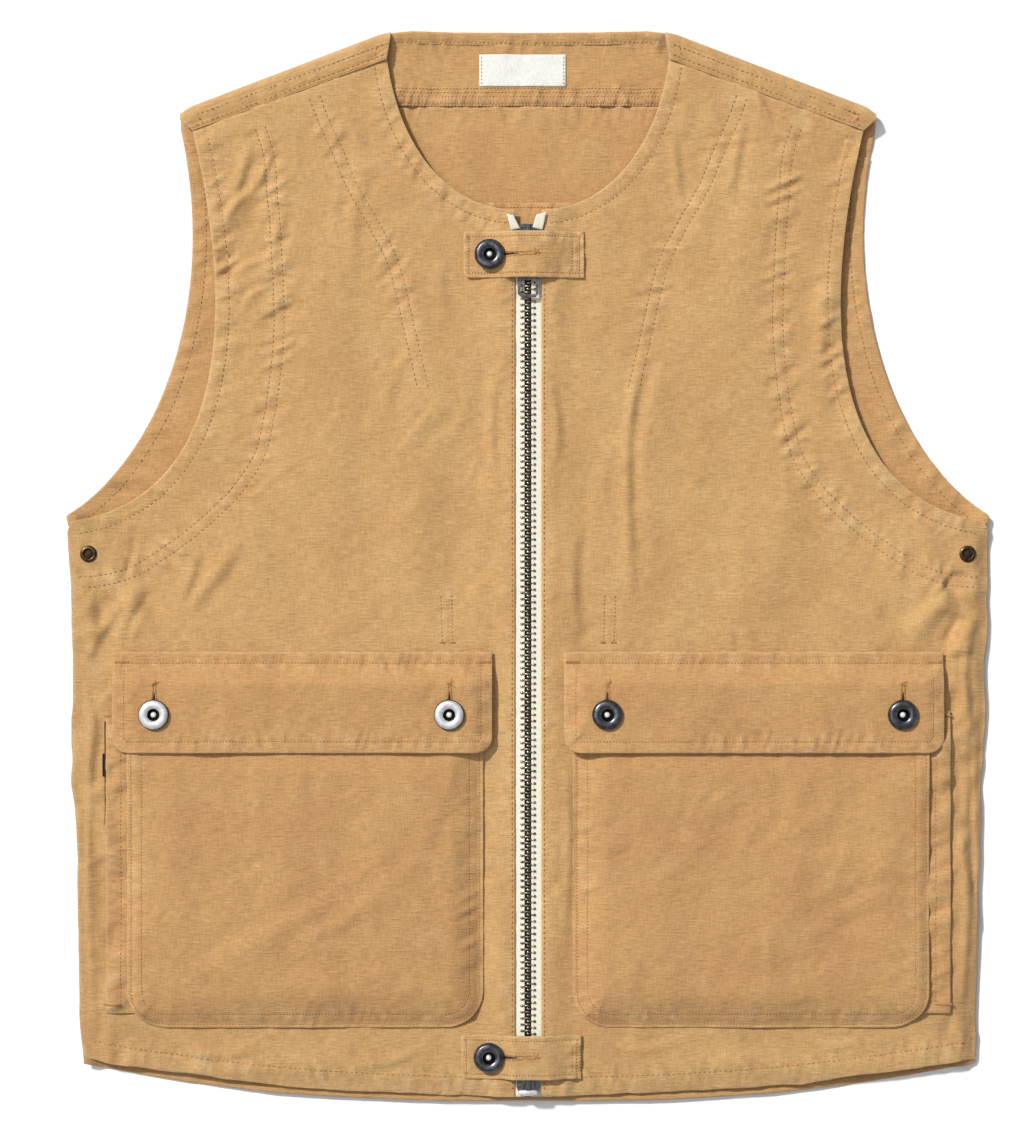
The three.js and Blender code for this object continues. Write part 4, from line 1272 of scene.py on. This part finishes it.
def make_label(yoke):
    low, high = cad("neck_label")
    columns, rows = np.linspace(0, 1, 60), np.linspace(0, 1, 26)
    x, y = np.meshgrid(mix(low[0], high[0], columns), mix(low[1], high[1], rows))
    raised = Cloth(lambda a, b: yoke.height(a, b) + 0.62, (), (), 0.1, 997)
    lay("neck_label_weave", x, y, raised, 0.4, "label", ["yoke_back"], ["neck_label"],
        edge=0.8, wear_edges=PLAIN_EDGES)
    return raised


def make_pocket(side):
    s = SIDES[side]
    x, y = rounded_plan(*BASE_SHOWN, 0.01)
    lay(side + "_pocket_back", s * x, y, BASE[side], FACING, "pocket", [side + "_front"],
        [side + "_pocket_base"], edge=1.0)
    x, y = rounded_plan(PATCH_LOW, PATCH_HIGH, PATCH_RADIUS)
    lay(side + "_patch", s * x, y, PATCH[side], CANVAS, "pocket", [side + "_pocket_back"],
        [side + "_pocket_patch"], edge=1.5)


def make_loop():
    """The small loop of black tape in the opening of the right hand pocket."""
    x, y = rounded_plan((BASE_HIGH[0] - 3, -119), (BASE_HIGH[0] + 1.9, -106), 0.8)
    edge = lambda px, py: BASE["right"].height(np.full(np.shape(py), -BASE_HIGH[0]), py) - 0.6
    cloth = Cloth(edge, (), (), 0.1, 1990)
    lay("pocket_loop", -x, y, cloth, 0.7, "loop", ["right_front"], edge=0.7, wear_edges=PLAIN_EDGES)
    across = -BASE_HIGH[0] - 0.2
    # Painted shadow along the hand pocket's opening.
    slit("hand_pocket_gap", (across, -88), (across, -146), lambda px, py: edge(px, py) + 0.2, 0.9, "vest")


def bend_flap(obj):
    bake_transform(obj)


def make_flap(side):
    s = SIDES[side]
    x, y = rounded_plan(FLAP_LOW, (FLAP_HIGH[0], SEAM_TOP), FLAP_RADIUS)
    lay(side + "_flap", s * x, y, FLAP[side], FLAP_CLOTH, "pocket", [side + "_patch"],
        [side + "_pocket_flap", side + "_flap_seam"], lambda obj: bend_flap(obj), edge=1.6)


def bend_tab(obj):
    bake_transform(obj)


def make_tab(name):
    low, high = TABS[name]
    columns, rows = grid_lines((high[0] - low[0]) * 1.4), grid_lines((high[1] - low[1]) * 1.4)
    height = mix(low[1], high[1], rows)
    inset = np.zeros(height.size)
    for radius, from_end in ((3.6, height - low[1]), (1.4, high[1] - height)):
        rise = np.clip(radius - from_end, 0, radius)
        inset = inset + radius - np.sqrt(radius**2 - rise**2)
    left = np.column_stack([low[0] + inset, height])
    x, y = ruled(left, np.column_stack([np.full(height.size, high[0]), height]), columns)
    lay(name + "_cloth", x, y, TAB[name], FLAP_CLOTH, "canvas", ["left_front", "right_front"],
        [name, name + "_end"], lambda obj: bend_tab(obj), edge=1.5)


# ---------- thread ----------


class ThreadWork:
    """Short lengths of thread gathered into one mesh."""

    def __init__(self, name, material, body):
        self.name, self.material, self.body = name, material, body
        self.vertices, self.faces = [], []

    def lengths(self, starts, ends, heights, radius, sink=0.45, arch=0.25):
        """One thread from each start to each end, over the cloth of that height, dipping in at both ends."""
        starts, ends = np.atleast_2d(starts).astype(float), np.atleast_2d(ends).astype(float)
        run = ends - starts
        span = np.linalg.norm(run, axis=1)[:, None]
        along = run / np.maximum(span, 1e-9)
        across = np.column_stack([-along[:, 1], along[:, 0]])
        stations = (  # share of the length, lift off the cloth, size
            (0, -sink, 0.55), (0.18, arch * 0.3, 1.0), (0.5, arch, 1.08),
            (0.82, arch * 0.3, 1.0), (1, -sink, 0.55),
        )
        ring = np.arange(6) * math.pi / 3
        first = sum(len(block) for block in self.vertices)
        block = []
        for share, lift, size in stations:
            centre = starts + run * share
            z = np.maximum(heights(centre[:, 0], centre[:, 1]), 0.7) + lift
            for angle in ring:
                offset = across * (math.cos(angle) * radius * size)
                height = z + math.sin(angle) * radius * size * 0.8
                block.append(np.column_stack([centre + offset, height]))
        count = len(starts)
        block = np.stack(block, axis=1).reshape(-1, 3)
        self.vertices.append(block)
        per = len(stations) * 6
        base = first + per * np.arange(count)
        for station in range(len(stations) - 1):
            for k in range(6):
                a, b = station * 6 + k, station * 6 + (k + 1) % 6
                self.faces.append(np.column_stack([base + a, base + b, base + b + 6, base + a + 6]))
        for cap in ([5, 4, 3, 2], [5, 2, 1, 0]):
            self.faces.append(np.column_stack([base + k for k in cap]))
            self.faces.append(np.column_stack([base + per - 1 - k for k in cap]))

    def row(self, points, pitch, heights, seed, radius=0.3, fill=0.74):
        """A running row of stitches along a line, each a little uneven."""
        total = length_along(points)[-1]
        count = int(total / pitch)
        rng = np.random.default_rng(seed)
        start = (np.arange(count) + 0.13 + rng.uniform(-0.05, 0.05, count)) * pitch
        stop = start + pitch * fill * rng.uniform(0.92, 1.05, count)
        sway = rng.normal(0, 0.06, (count, 2))
        a, b = resample(points, start / total), resample(points, np.minimum(stop / total, 1))
        self.lengths(a + sway, b + sway, heights, radius)

    def bartack(self, a, b, width, heights, seed):
        """A dense bar of stitches across the line from a to b."""
        a, b = np.array(a, float), np.array(b, float)
        span = np.linalg.norm(b - a)
        count = max(4, int(span / 0.42))
        along = (b - a) / span
        across = np.array([-along[1], along[0]])
        rng = np.random.default_rng(seed)
        centre = a + (b - a) * np.linspace(0, 1, count)[:, None]
        half = width / 2 * rng.uniform(0.85, 1.1, (count, 1))
        self.lengths(centre - across * half, centre + across * half, heights, 0.24, 0.3, 0.35)

    def buttonhole(self, start, end, heights, seed):
        """Purl stitches along two lips that gape at the start, and crossed threads at the end."""
        start, end = np.array(start, float), np.array(end, float)
        span = np.linalg.norm(end - start)
        along = (end - start) / span
        across = np.array([-along[1], along[0]])
        rng = np.random.default_rng(seed)
        count = int(span / 0.6)
        share = np.linspace(0.02, 1, count)
        gape = (0.25 + 1.15 * (1 - share) ** 2)[:, None]
        for lip in (-1, 1):
            centre = start + along * (share * span)[:, None] + rng.normal(0, 0.08, (count, 2))
            inner = centre + across * lip * gape
            outer = inner + across * lip * rng.uniform(0.6, 1.15, (count, 1))
            outer = outer + along * rng.normal(0.3, 0.2, (count, 1))
            self.lengths(inner, outer, heights, 0.22, 0.2, 0.35)
        tip = rng.uniform(-1.6, 1.6, (9, 2))
        self.lengths(end + tip, end - tip * rng.uniform(0.5, 1, (9, 1)), heights, 0.2, 0.1, 0.4)

    def frayed(self, at, heights, seed, count=5, reach=3.4):
        """Loose thread ends."""
        rng = np.random.default_rng(seed)
        angle = rng.uniform(0, 2 * math.pi, count)
        length = rng.uniform(0.5, 1.0, count) * reach
        start = np.array(at, float) + rng.normal(0, 0.5, (count, 2))
        end = start + np.column_stack([np.cos(angle), np.sin(angle)]) * length[:, None]
        self.lengths(start, end, heights, 0.14, -0.1, 0.8)

    def make(self):
        obj = make_mesh(self.name, np.concatenate(self.vertices), np.concatenate(self.faces).tolist())
        finish_piece(obj, self.material, self.body)
        return obj


def sew(work, cloth, only=None, seed=0):
    """Stitches along every seam row of a cloth."""
    for number, seam in enumerate(cloth.seams):
        if only is not None and number not in only:
            continue
        for row in seam.rows:
            line = outset(seam.points, row) if row else seam.points
            fade = 3.0 if seam.ends > 1 else 0.2
            total = length_along(line)[-1]
            keep = np.linspace(fade / total, 1 - fade / total, max(20, int(total / 2)))
            work.row(resample(line, keep), seam.pitch, cloth.height, seed + number * 7 + int(row * 10))


def slit(name, start, end, heights, width, body, bend=None):
    """A dark strip of painted shadow in the opening between the lips of a buttonhole."""
    start, end = np.array(start, float), np.array(end, float)
    along = (end - start) / np.linalg.norm(end - start)
    across = np.array([-along[1], along[0]])
    t = np.linspace(0, 1, 12)
    half = width / 2 * (1 - t) ** 0.8 + 0.12
    centre = start + (end - start) * t[:, None]
    plan = np.concatenate([centre + across * half[:, None], centre - across * half[:, None]])
    top = np.column_stack([plan, heights(plan[:, 0], plan[:, 1]) + 0.12])
    grid = np.concatenate([top, top - [0, 0, 0.5]])
    obj = make_mesh(name, grid, shell_faces(2, len(t))[:, ::-1].tolist())
    finish_piece(obj, "slit", body)
    if bend:
        bend(obj)


def sew_vest(neck_facing, back, yoke, label):
    work = ThreadWork("vest_stitching", "thread", "vest")
    for side, s in SIDES.items():
        sew(work, FRONT[side], seed=1000 + s)
        rows, height = shoulder_stitches(side)
        for number, line in enumerate(rows):
            work.row(line, BODY_PITCH, height, 1100 + number + s)
        sew(work, BASE[side], seed=1150 + s)
        for y in (-85, -246):
            work.bartack((s * 227.5, y), (s * 236.5, y), 1.3, BASE[side].height, 1200 + s)
        for dx in (0.0, 6.0):
            start, end = ((s * (PRINCESS_END[-1][0] + dx + half), -44) for half in (-1.2, 1.2))
            work.bartack(start, end, 1.4, FRONT[side].height, 1210 + s)
    sew(work, back, (0, 1), seed=1300)
    sew(work, yoke, (1,), seed=1320)
    sew(work, neck_facing, seed=1340)
    low, high = cad("neck_label")
    for x in (low[0] + 1.3, high[0] - 1.3):
        work.row(np.array([(x, low[1] + 1), (x, high[1] - 1)]), 2.0, label.height, 1360, 0.2)
    work.make()


def overlock(yoke):
    """The overlocked edge along the back yoke's seam: slanted loops between two rows, and two rows above."""
    work = ThreadWork("overlock_stitching", "overlock", "vest")
    seam = yoke.seams[0].points
    seam = seam[np.abs(seam[:, 0]) < 100]
    rng = np.random.default_rng(1400)
    upper, lower = outset(seam, 2.2), outset(seam, -2.9)
    count = int(length_along(upper)[-1] / 0.85)
    t = (np.arange(count) + 0.5) / count
    jitter = lambda: rng.normal(0, 0.14, (count, 2))
    a, b = resample(upper, t) + jitter(), resample(lower, np.minimum(t + 0.7 / count, 1)) + jitter()
    work.lengths(a, b, yoke.height, 0.26, 0.15, 0.4)
    work.lengths(b, resample(upper, np.minimum(t + 1.0 / count, 1)) + jitter(), yoke.height, 0.26, 0.15, 0.4)
    for number, offset in enumerate((-2.9, 2.2, 4.6, 6.6)):
        work.row(outset(seam, offset), 1.9, yoke.height, 1410 + number, 0.36, 0.94)
    work.make()


def sew_pockets(side):
    s = SIDES[side]
    work = ThreadWork(side + "_pocket_stitching", "thread", "vest")
    sew(work, PATCH[side], seed=1500 + s)
    work.make()
    work = ThreadWork(side + "_flap_stitching", "thread", None)
    sew(work, FLAP[side], seed=1600 + s)
    for x in (FLAP_LOW[0] + 1.4, FLAP_HIGH[0] - 8.6):
        work.bartack((s * x, HINGE_Y + 0.4), (s * (x + 7.2), HINGE_Y + 0.4), 1.9, FLAP[side].height, 1620 + s)
    bend_flap(work.make())
    holes = ThreadWork(side + "_flap_buttonholes", "buttonhole", None)
    for number, x in enumerate(BUTTON_XS):
        start, end = (s * x, BUTTON_Y + 5), (s * x + 0.4, BUTTON_Y + 17.5)
        holes.buttonhole(start, end, FLAP[side].height, 1700 + number + s)
        holes.frayed(end, FLAP[side].height, 1710 + number + s)
        name = f"{side}_flap_slit_{number + 1}"
        slit(name, start, mix(np.array(start), np.array(end), 0.62), FLAP[side].height, 1.9, None,
             lambda obj: bend_flap(obj))
    bend_flap(holes.make())


def sew_tab(name):
    work = ThreadWork(name + "_stitching", "thread", None)
    sew(work, TAB[name], seed=1800)
    bend_tab(work.make())
    x, y = centre_of(name + "_button_cap")[:2]
    start, end = (x + 5, y), (x + 25.5, y + 0.6)
    holes = ThreadWork(name + "_buttonhole", "buttonhole", None)
    holes.buttonhole(start, end, TAB[name].height, 1850)
    holes.frayed(end, TAB[name].height, 1860, 6)
    bend_tab(holes.make())
    slit(name + "_slit", start, mix(np.array(start), np.array(end), 0.55), TAB[name].height, 1.9, None,
         lambda obj: bend_tab(obj))


# ---------- metal ----------


def turned(name, profile, centre, segments=72):
    """A closed body turned about Z from (radius, height) pairs; a radius of 0 closes it on the axis."""
    vertices, rings = [], []
    for radius, height in profile:
        if radius == 0:
            rings.append([len(vertices)])
            vertices.append((centre[0], centre[1], height))
            continue
        ring = []
        for k in range(segments):
            angle = 2 * math.pi * k / segments
            ring.append(len(vertices))
            x, y = centre[0] + radius * math.cos(angle), centre[1] + radius * math.sin(angle)
            vertices.append((x, y, height))
        rings.append(ring)
    faces = []
    for a, b in zip(rings, rings[1:]):
        for k in range(segments):
            j = (k + 1) % segments
            if len(a) == 1:
                faces.append((a[0], b[j], b[k]))
            elif len(b) == 1:
                faces.append((a[k], a[j], b[0]))
            else:
                faces.append((a[k], a[j], b[j], b[k]))
    return make_mesh(name, vertices, faces)


def smooth_profile(points, count=5):
    """The same profile with its corners rounded."""
    points = np.array(points, float)
    out = [points[0]]
    for a, b, c in zip(points, points[1:], points[2:]):
        t = np.linspace(0, 1, count)[:, None]
        first, last = (mix(b, end, min(0.45, 0.5 / max(np.hypot(*(end - b)), 0.01))) for end in (a, c))
        out += list((1 - t) ** 2 * first + 2 * t * (1 - t) * b + t**2 * last)
    out.append(points[-1])
    return [(float(r), float(z)) for r, z in out]


def make_button(name, light):
    """A tack button: a ringed head with a deep middle, and the bright nail that shows in it."""
    centre = centre_of(name + "_cap")
    z = cad(name + "_cap")[0][2]
    head = smooth_profile([
        (1.7, 0.1), (4.5, 0.0), (7.9, 0.0), (8.5, 0.8), (8.4, 1.7), (7.7, 2.3), (7.2, 2.75), (6.2, 3.0),
        (4.9, 2.95), (3.8, 2.5), (3.3, 1.6), (3.1, 0.5), (2.6, 0.35), (1.75, 0.4), (1.7, 0.1),
    ])
    cap = turned(name + "_head", [(r, z + h) for r, h in head], centre)
    # The pale buttons get light steel as a painted reflection of the white softbox; the others are gunmetal.
    finish_piece(cap, "steel" if light else "gunmetal", name, [name + "_cap"])
    # Painted shade: near-black in the buttons' deep middle, and round the outer edge of the pale ones.
    cap.data.materials.append(MATERIALS["painted_shade"])
    for face in cap.data.polygons:
        reach = math.hypot(face.center[0] / MM - centre[0], face.center[1] / MM - centre[1])
        face.material_index = 1 if reach < 3.45 or (light and reach > 8.0) else 0
    low, high = cad(name + "_tack")
    foot, tip = low[2], high[2]
    nail = [
        (0, foot), (3.6, foot), (4.4, foot + 0.2), (4.4, foot + 0.5), (1.5, foot + 0.7), (1.5, tip - 0.75),
        (1.3, tip - 0.4), (0.9, tip - 0.12), (0.45, tip), (0, tip),
    ]
    # The nail is near-white steel, partly a painted highlight of its glint.
    tack = turned(name + "_nail", nail, centre, 40)
    finish_piece(tack, "bright", "vest", [name + "_tack"])


def rounded_bar(stations, ring_size, roundness=0.32):
    """Rings of a rounded bar along X: each station is (x, y middle, z middle, half width, half height)."""
    vertices = []
    for x, y, z, half_y, half_z in stations:
        for k in range(ring_size):
            angle = 2 * math.pi * (k + 0.5) / ring_size
            turn = (math.cos(angle), math.sin(angle))
            across, up = (math.copysign(abs(part) ** roundness, part) for part in turn)
            vertices.append((x, y + half_y * across, z + half_z * up))
    return vertices


TOOTH_PITCH = 3.5
TOOTH = (  # how far out from the middle, half the width and the share of the full height, from leg to head
    (4.35, 0.35, 0.55), (4.15, 0.64, 0.85), (3.3, 0.7, 1.0), (2.5, 0.4, 0.82), (1.7, 0.36, 0.8),
    (1.2, 0.5, 0.9), (0.4, 0.66, 0.95), (-0.5, 0.66, 0.92), (-0.95, 0.48, 0.7), (-1.05, 0.28, 0.45),
)


def make_teeth(side):
    """One row of zip teeth: each grips the tape's cord with a leg and meets its neighbours with a head."""
    s = SIDES[side]
    low, high = cad(side + "_zip_teeth")
    middle_z, half_z = (low[2] + high[2]) / 2, (high[2] - low[2]) / 2
    vertices, faces = [], []
    ring = 12
    y = low[1] + 1 + (0 if s > 0 else TOOTH_PITCH / 2)
    while y + 1.4 < high[1]:
        faces += tube_faces(len(TOOTH), ring, len(vertices), s > 0)
        vertices += rounded_bar([(s * x, y + 0.7, middle_z, hy, half_z * hz) for x, hy, hz in TOOTH], ring)
        y += TOOTH_PITCH
    obj = make_mesh(side + "_teeth", vertices, faces)
    finish_piece(obj, "zip_metal", "vest", [side + "_zip_teeth"])


TAPE_EARS_Y = 187.0
TAPE_EARS = {  # corners of the tape's cut ends: lower inner, lower outer, upper inner, upper outer
    "right": ((-4.4, 187.4), (-9.4, 186.4), (-8.2, 194.6), (-12.0, 195.6)),
    "left": ((2.4, 188.0), (8.2, 186.6), (4.6, 195.0), (10.2, 196.6)),
}


def make_tape(side):
    """A zip tape with a corded edge that the teeth grip."""
    s = SIDES[side]
    low, high = cad(side + "_zip_tape")
    inner, outer = 1.8, high[0] if s > 0 else -low[0]
    cord = [(0, 0.1), (0.15, 0.42), (0.6, 0.6), (1.1, 0.5), (1.5, 0.34), (2.6, 0.34)]
    edge = [(outer - 0.4, 0.34), (outer, 0.1), (outer, -0.2), (outer - 0.4, -0.36)]
    cord_back = [(1.6, -0.36), (1.1, -0.5), (0.5, -0.55), (0.1, -0.3)]
    section = [(inner + x, z) for x, z in cord] + edge + [(inner + x, z) for x, z in cord_back]
    rows = np.linspace(low[1], TAPE_EARS_Y, 330)
    middle = (low[2] + high[2]) / 2
    wave = 0.12 * noise_1d(rows / 6, 1900 + s)
    vertices = []
    for y, w in zip(rows, wave):
        for x, z in section:
            vertices.append((s * x, y, middle + z + w))
    obj = make_mesh(side + "_tape", vertices, tube_faces(len(rows), len(section), mirrored=s > 0))
    finish_piece(obj, "tape", "vest", [side + "_zip_tape"])


def tape_ends():
    """The tapes' cut upper ends, splayed over the neck edge."""
    for side, corners in TAPE_EARS.items():
        a, b, c, d = (np.array(corner) for corner in corners)
        u, v = np.linspace(0, 1, 12)[None, :, None], np.linspace(0, 1, 16)[:, None, None]
        plan = mix(mix(a, b, u), mix(c, d, u), v)
        x, y = plan[..., 0], plan[..., 1]
        curl = Cloth(lambda px, py: 11.6 + 1.2 * np.sin((py - 186) / 10 * 1.6), (), (), 0.16, 1950)
        obj = cloth_piece(side + "_tape_end", x, y, curl, 0.6, edge=0.6, wear_edges=PLAIN_EDGES)
        finish_piece(obj, "tape", "vest")


def make_zip_guard():
    """The guard of canvas behind the top of the zip, with its stitched upper edge."""
    columns, rows = grid_lines(52), grid_lines(28)
    x, y = np.meshgrid(mix(-27, 25, columns), mix(174, 202.6, rows))
    seam = Seam([(-27, 200), (25, 200)], (0.0,), 0.2, 0.3, 1.9, seed=1960)
    cloth = Cloth(lambda px, py: np.full(np.shape(px), 5.6), [seam], (), 0.15, 1965)
    lay("zip_guard", x, y, cloth, FACING, "inner", ["back_body"])
    work = ThreadWork("zip_guard_stitching", "thread", "vest")
    sew(work, cloth, seed=1970)
    work.make()


def dress_metal(node, material, width=0.25):
    """A CAD node of metal with its edges eased."""
    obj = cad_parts[node]
    obj.data.materials.clear()
    obj.data.materials.append(MATERIALS[material])
    bevel = obj.modifiers.new("eased_edges", "BEVEL")
    bevel.width = width * MM
    bevel.segments = 3
    bevel.limit_method = "ANGLE"
    bevel.angle_limit = math.radians(35)
    bevel.harden_normals = False
    smooth = obj.modifiers.new("soft_shading", "WEIGHTED_NORMAL")
    smooth.keep_sharp = True


def make_slider_bar():
    """The rounded bar across the lower end of the bottom slider, in pale steel as a painted highlight."""
    low, high = cad("bottom_slider")
    y, z = low[1] + 1.9, high[2] - 1.0
    stations = [(-5.4, y, z, 0.7, 0.4), (-5.1, y, z, 1.2, 0.8), (-4.2, y, z, 1.6, 1.05)]
    stations.append((0, y, z + 0.1, 1.75, 1.2))
    stations += [(-x, *rest) for x, *rest in stations[2::-1]]
    ring = 16
    vertices = rounded_bar(stations, ring, 0.8)
    obj = make_mesh("bottom_slider_bar", vertices, tube_faces(len(stations), ring))
    finish_piece(obj, "steel", "bottom_slider")


def make_eyelet(side):
    low, high = cad(side + "_eyelet")
    centre = centre_of(side + "_eyelet")
    floor, rim = low[2], high[2] - 0.9
    ring = smooth_profile([
        (2.55, floor), (2.9, floor), (2.9, rim), (4.75, rim - 0.1), (4.6, rim + 0.45), (3.6, rim + 0.9),
        (2.8, rim + 0.8), (2.55, rim + 0.2), (2.55, floor),
    ])
    obj = turned(side + "_eyelet_ring", ring, centre)
    finish_piece(obj, "brass", "vest", [side + "_eyelet"])
    # A dark disc of painted shadow inside the eyelet's bore.
    top = rim - 0.15
    bore = [(0, top - 0.3), (2.5, top - 0.3), (2.5, top), (0, top - 0.1)]
    hole = turned(side + "_eyelet_bore", bore, centre, 40)
    finish_piece(hole, "slit", "vest")
    low, high = cad(side + "_eyelet_washer")
    z, top = low[2], high[2]
    washer = [(3.2, z), (4.6, z), (4.7, z + 0.2), (4.6, top), (3.2, top), (3.2, z)]
    obj = turned(side + "_eyelet_back", washer, centre)
    finish_piece(obj, "brass", "vest", [side + "_eyelet_washer"])


# ---------- floor, light and camera ----------


def make_floor():
    half, z = 9000, -0.2
    corners = [(-half, -half, z), (half, -half, z), (half, half, z), (-half, half, z)]
    obj = make_mesh("floor", corners, [(0, 1, 2, 3)], smooth=False)
    g = Graph("floor_paper")
    tooth = g.noise(object_place(g), (0.3, 0.3, 0.3), 2)
    tone = g.blend(g.spread(tooth, 0.3, 0.7), srgb(250, 250, 251), srgb(247, 247, 249))
    obj.data.materials.append(g.finish_with(Base_Color=tone, Roughness=g.spread(tooth, 0.3, 0.7, 0.88, 0.96)))


def aim(obj, target):
    obj.rotation_euler = (Vector(target) - obj.location).to_track_quat("-Z", "Y").to_euler()


def make_light():
    """A hard key from the upper left, a large softbox beside the camera, and a white surround."""
    key = bpy.data.lights.new("key", "SUN")
    key.energy = 3.15
    key.angle = math.radians(5)
    key.color = (1.0, 0.985, 0.96)
    obj = add_object("key", key)
    obj.location = (-0.72, 0.70, 1.0)
    aim(obj, (0, 0, 0))
    box = bpy.data.lights.new("softbox", "AREA")
    box.shape = "RECTANGLE"
    box.size, box.size_y = 1.3, 1.5
    box.energy = 8
    add_object("softbox", box).location = (-0.715, 0.15, 1.8)
    world = bpy.data.worlds.new("studio")
    world.use_nodes = True
    background = world.node_tree.nodes["Background"]
    background.inputs["Color"].default_value = (0.95, 0.975, 1.0, 1)
    background.inputs["Strength"].default_value = 0.33
    bpy.context.scene.world = world


def make_camera():
    low, high = np.array(CAD_BOX[0]), np.array(CAD_BOX[1])
    tall = 0.629  # metres seen from the picture's top to its bottom
    camera = bpy.data.cameras.new("camera")
    camera.lens = 100
    camera.sensor_width = 36
    camera.clip_end = 20
    middle = (low + high) / 2
    above = high[2] + tall * camera.lens / camera.sensor_width
    obj = add_object("camera", camera)
    obj.location = (middle[0] - 0.009, middle[1] - 0.001, above)
    bpy.context.scene.camera = obj


# ---------- the vest ----------


def make_hardware():
    for side in SIDES:
        make_teeth(side)
        make_tape(side)
        make_eyelet(side)
        for node in ("_zip_top_stop", "_zip_pin"):
            dress_metal(side + node, "zip_metal")
    for place, material in (("top", "slider_metal"), ("bottom", "pull_metal")):
        dress_metal(place + "_slider", material, 0.3)
        dress_metal(place + "_pull", "pull_metal", 0.3)
    make_slider_bar()
    tape_ends()
    make_zip_guard()
    names = [f"{side}_pocket_{place}_button" for side in SIDES for place in ("inner", "outer")]
    for name in names + ["neck_tab_button", "hem_tab_button"]:
        # The right pocket's buttons are pale: a painted reflection.
        make_button(name, name.startswith("right_pocket"))


def make_cloth():
    make_floor()
    back = make_back()
    yoke = make_yoke_back()
    neck_facing = make_neck_facing(yoke)
    label = make_label(yoke)
    for side in SIDES:
        make_front(side)
        make_shoulder(side)
        make_facings(side)
        make_pocket(side)
        make_flap(side)
        sew_pockets(side)
    make_loop()
    for name in TABS:
        make_tab(name)
        sew_tab(name)
    sew_vest(neck_facing, back, yoke, label)
    overlock(yoke)


make_cloth()
make_hardware()
make_light()
make_camera()
bpy.context.scene.view_settings.view_transform = "Standard"
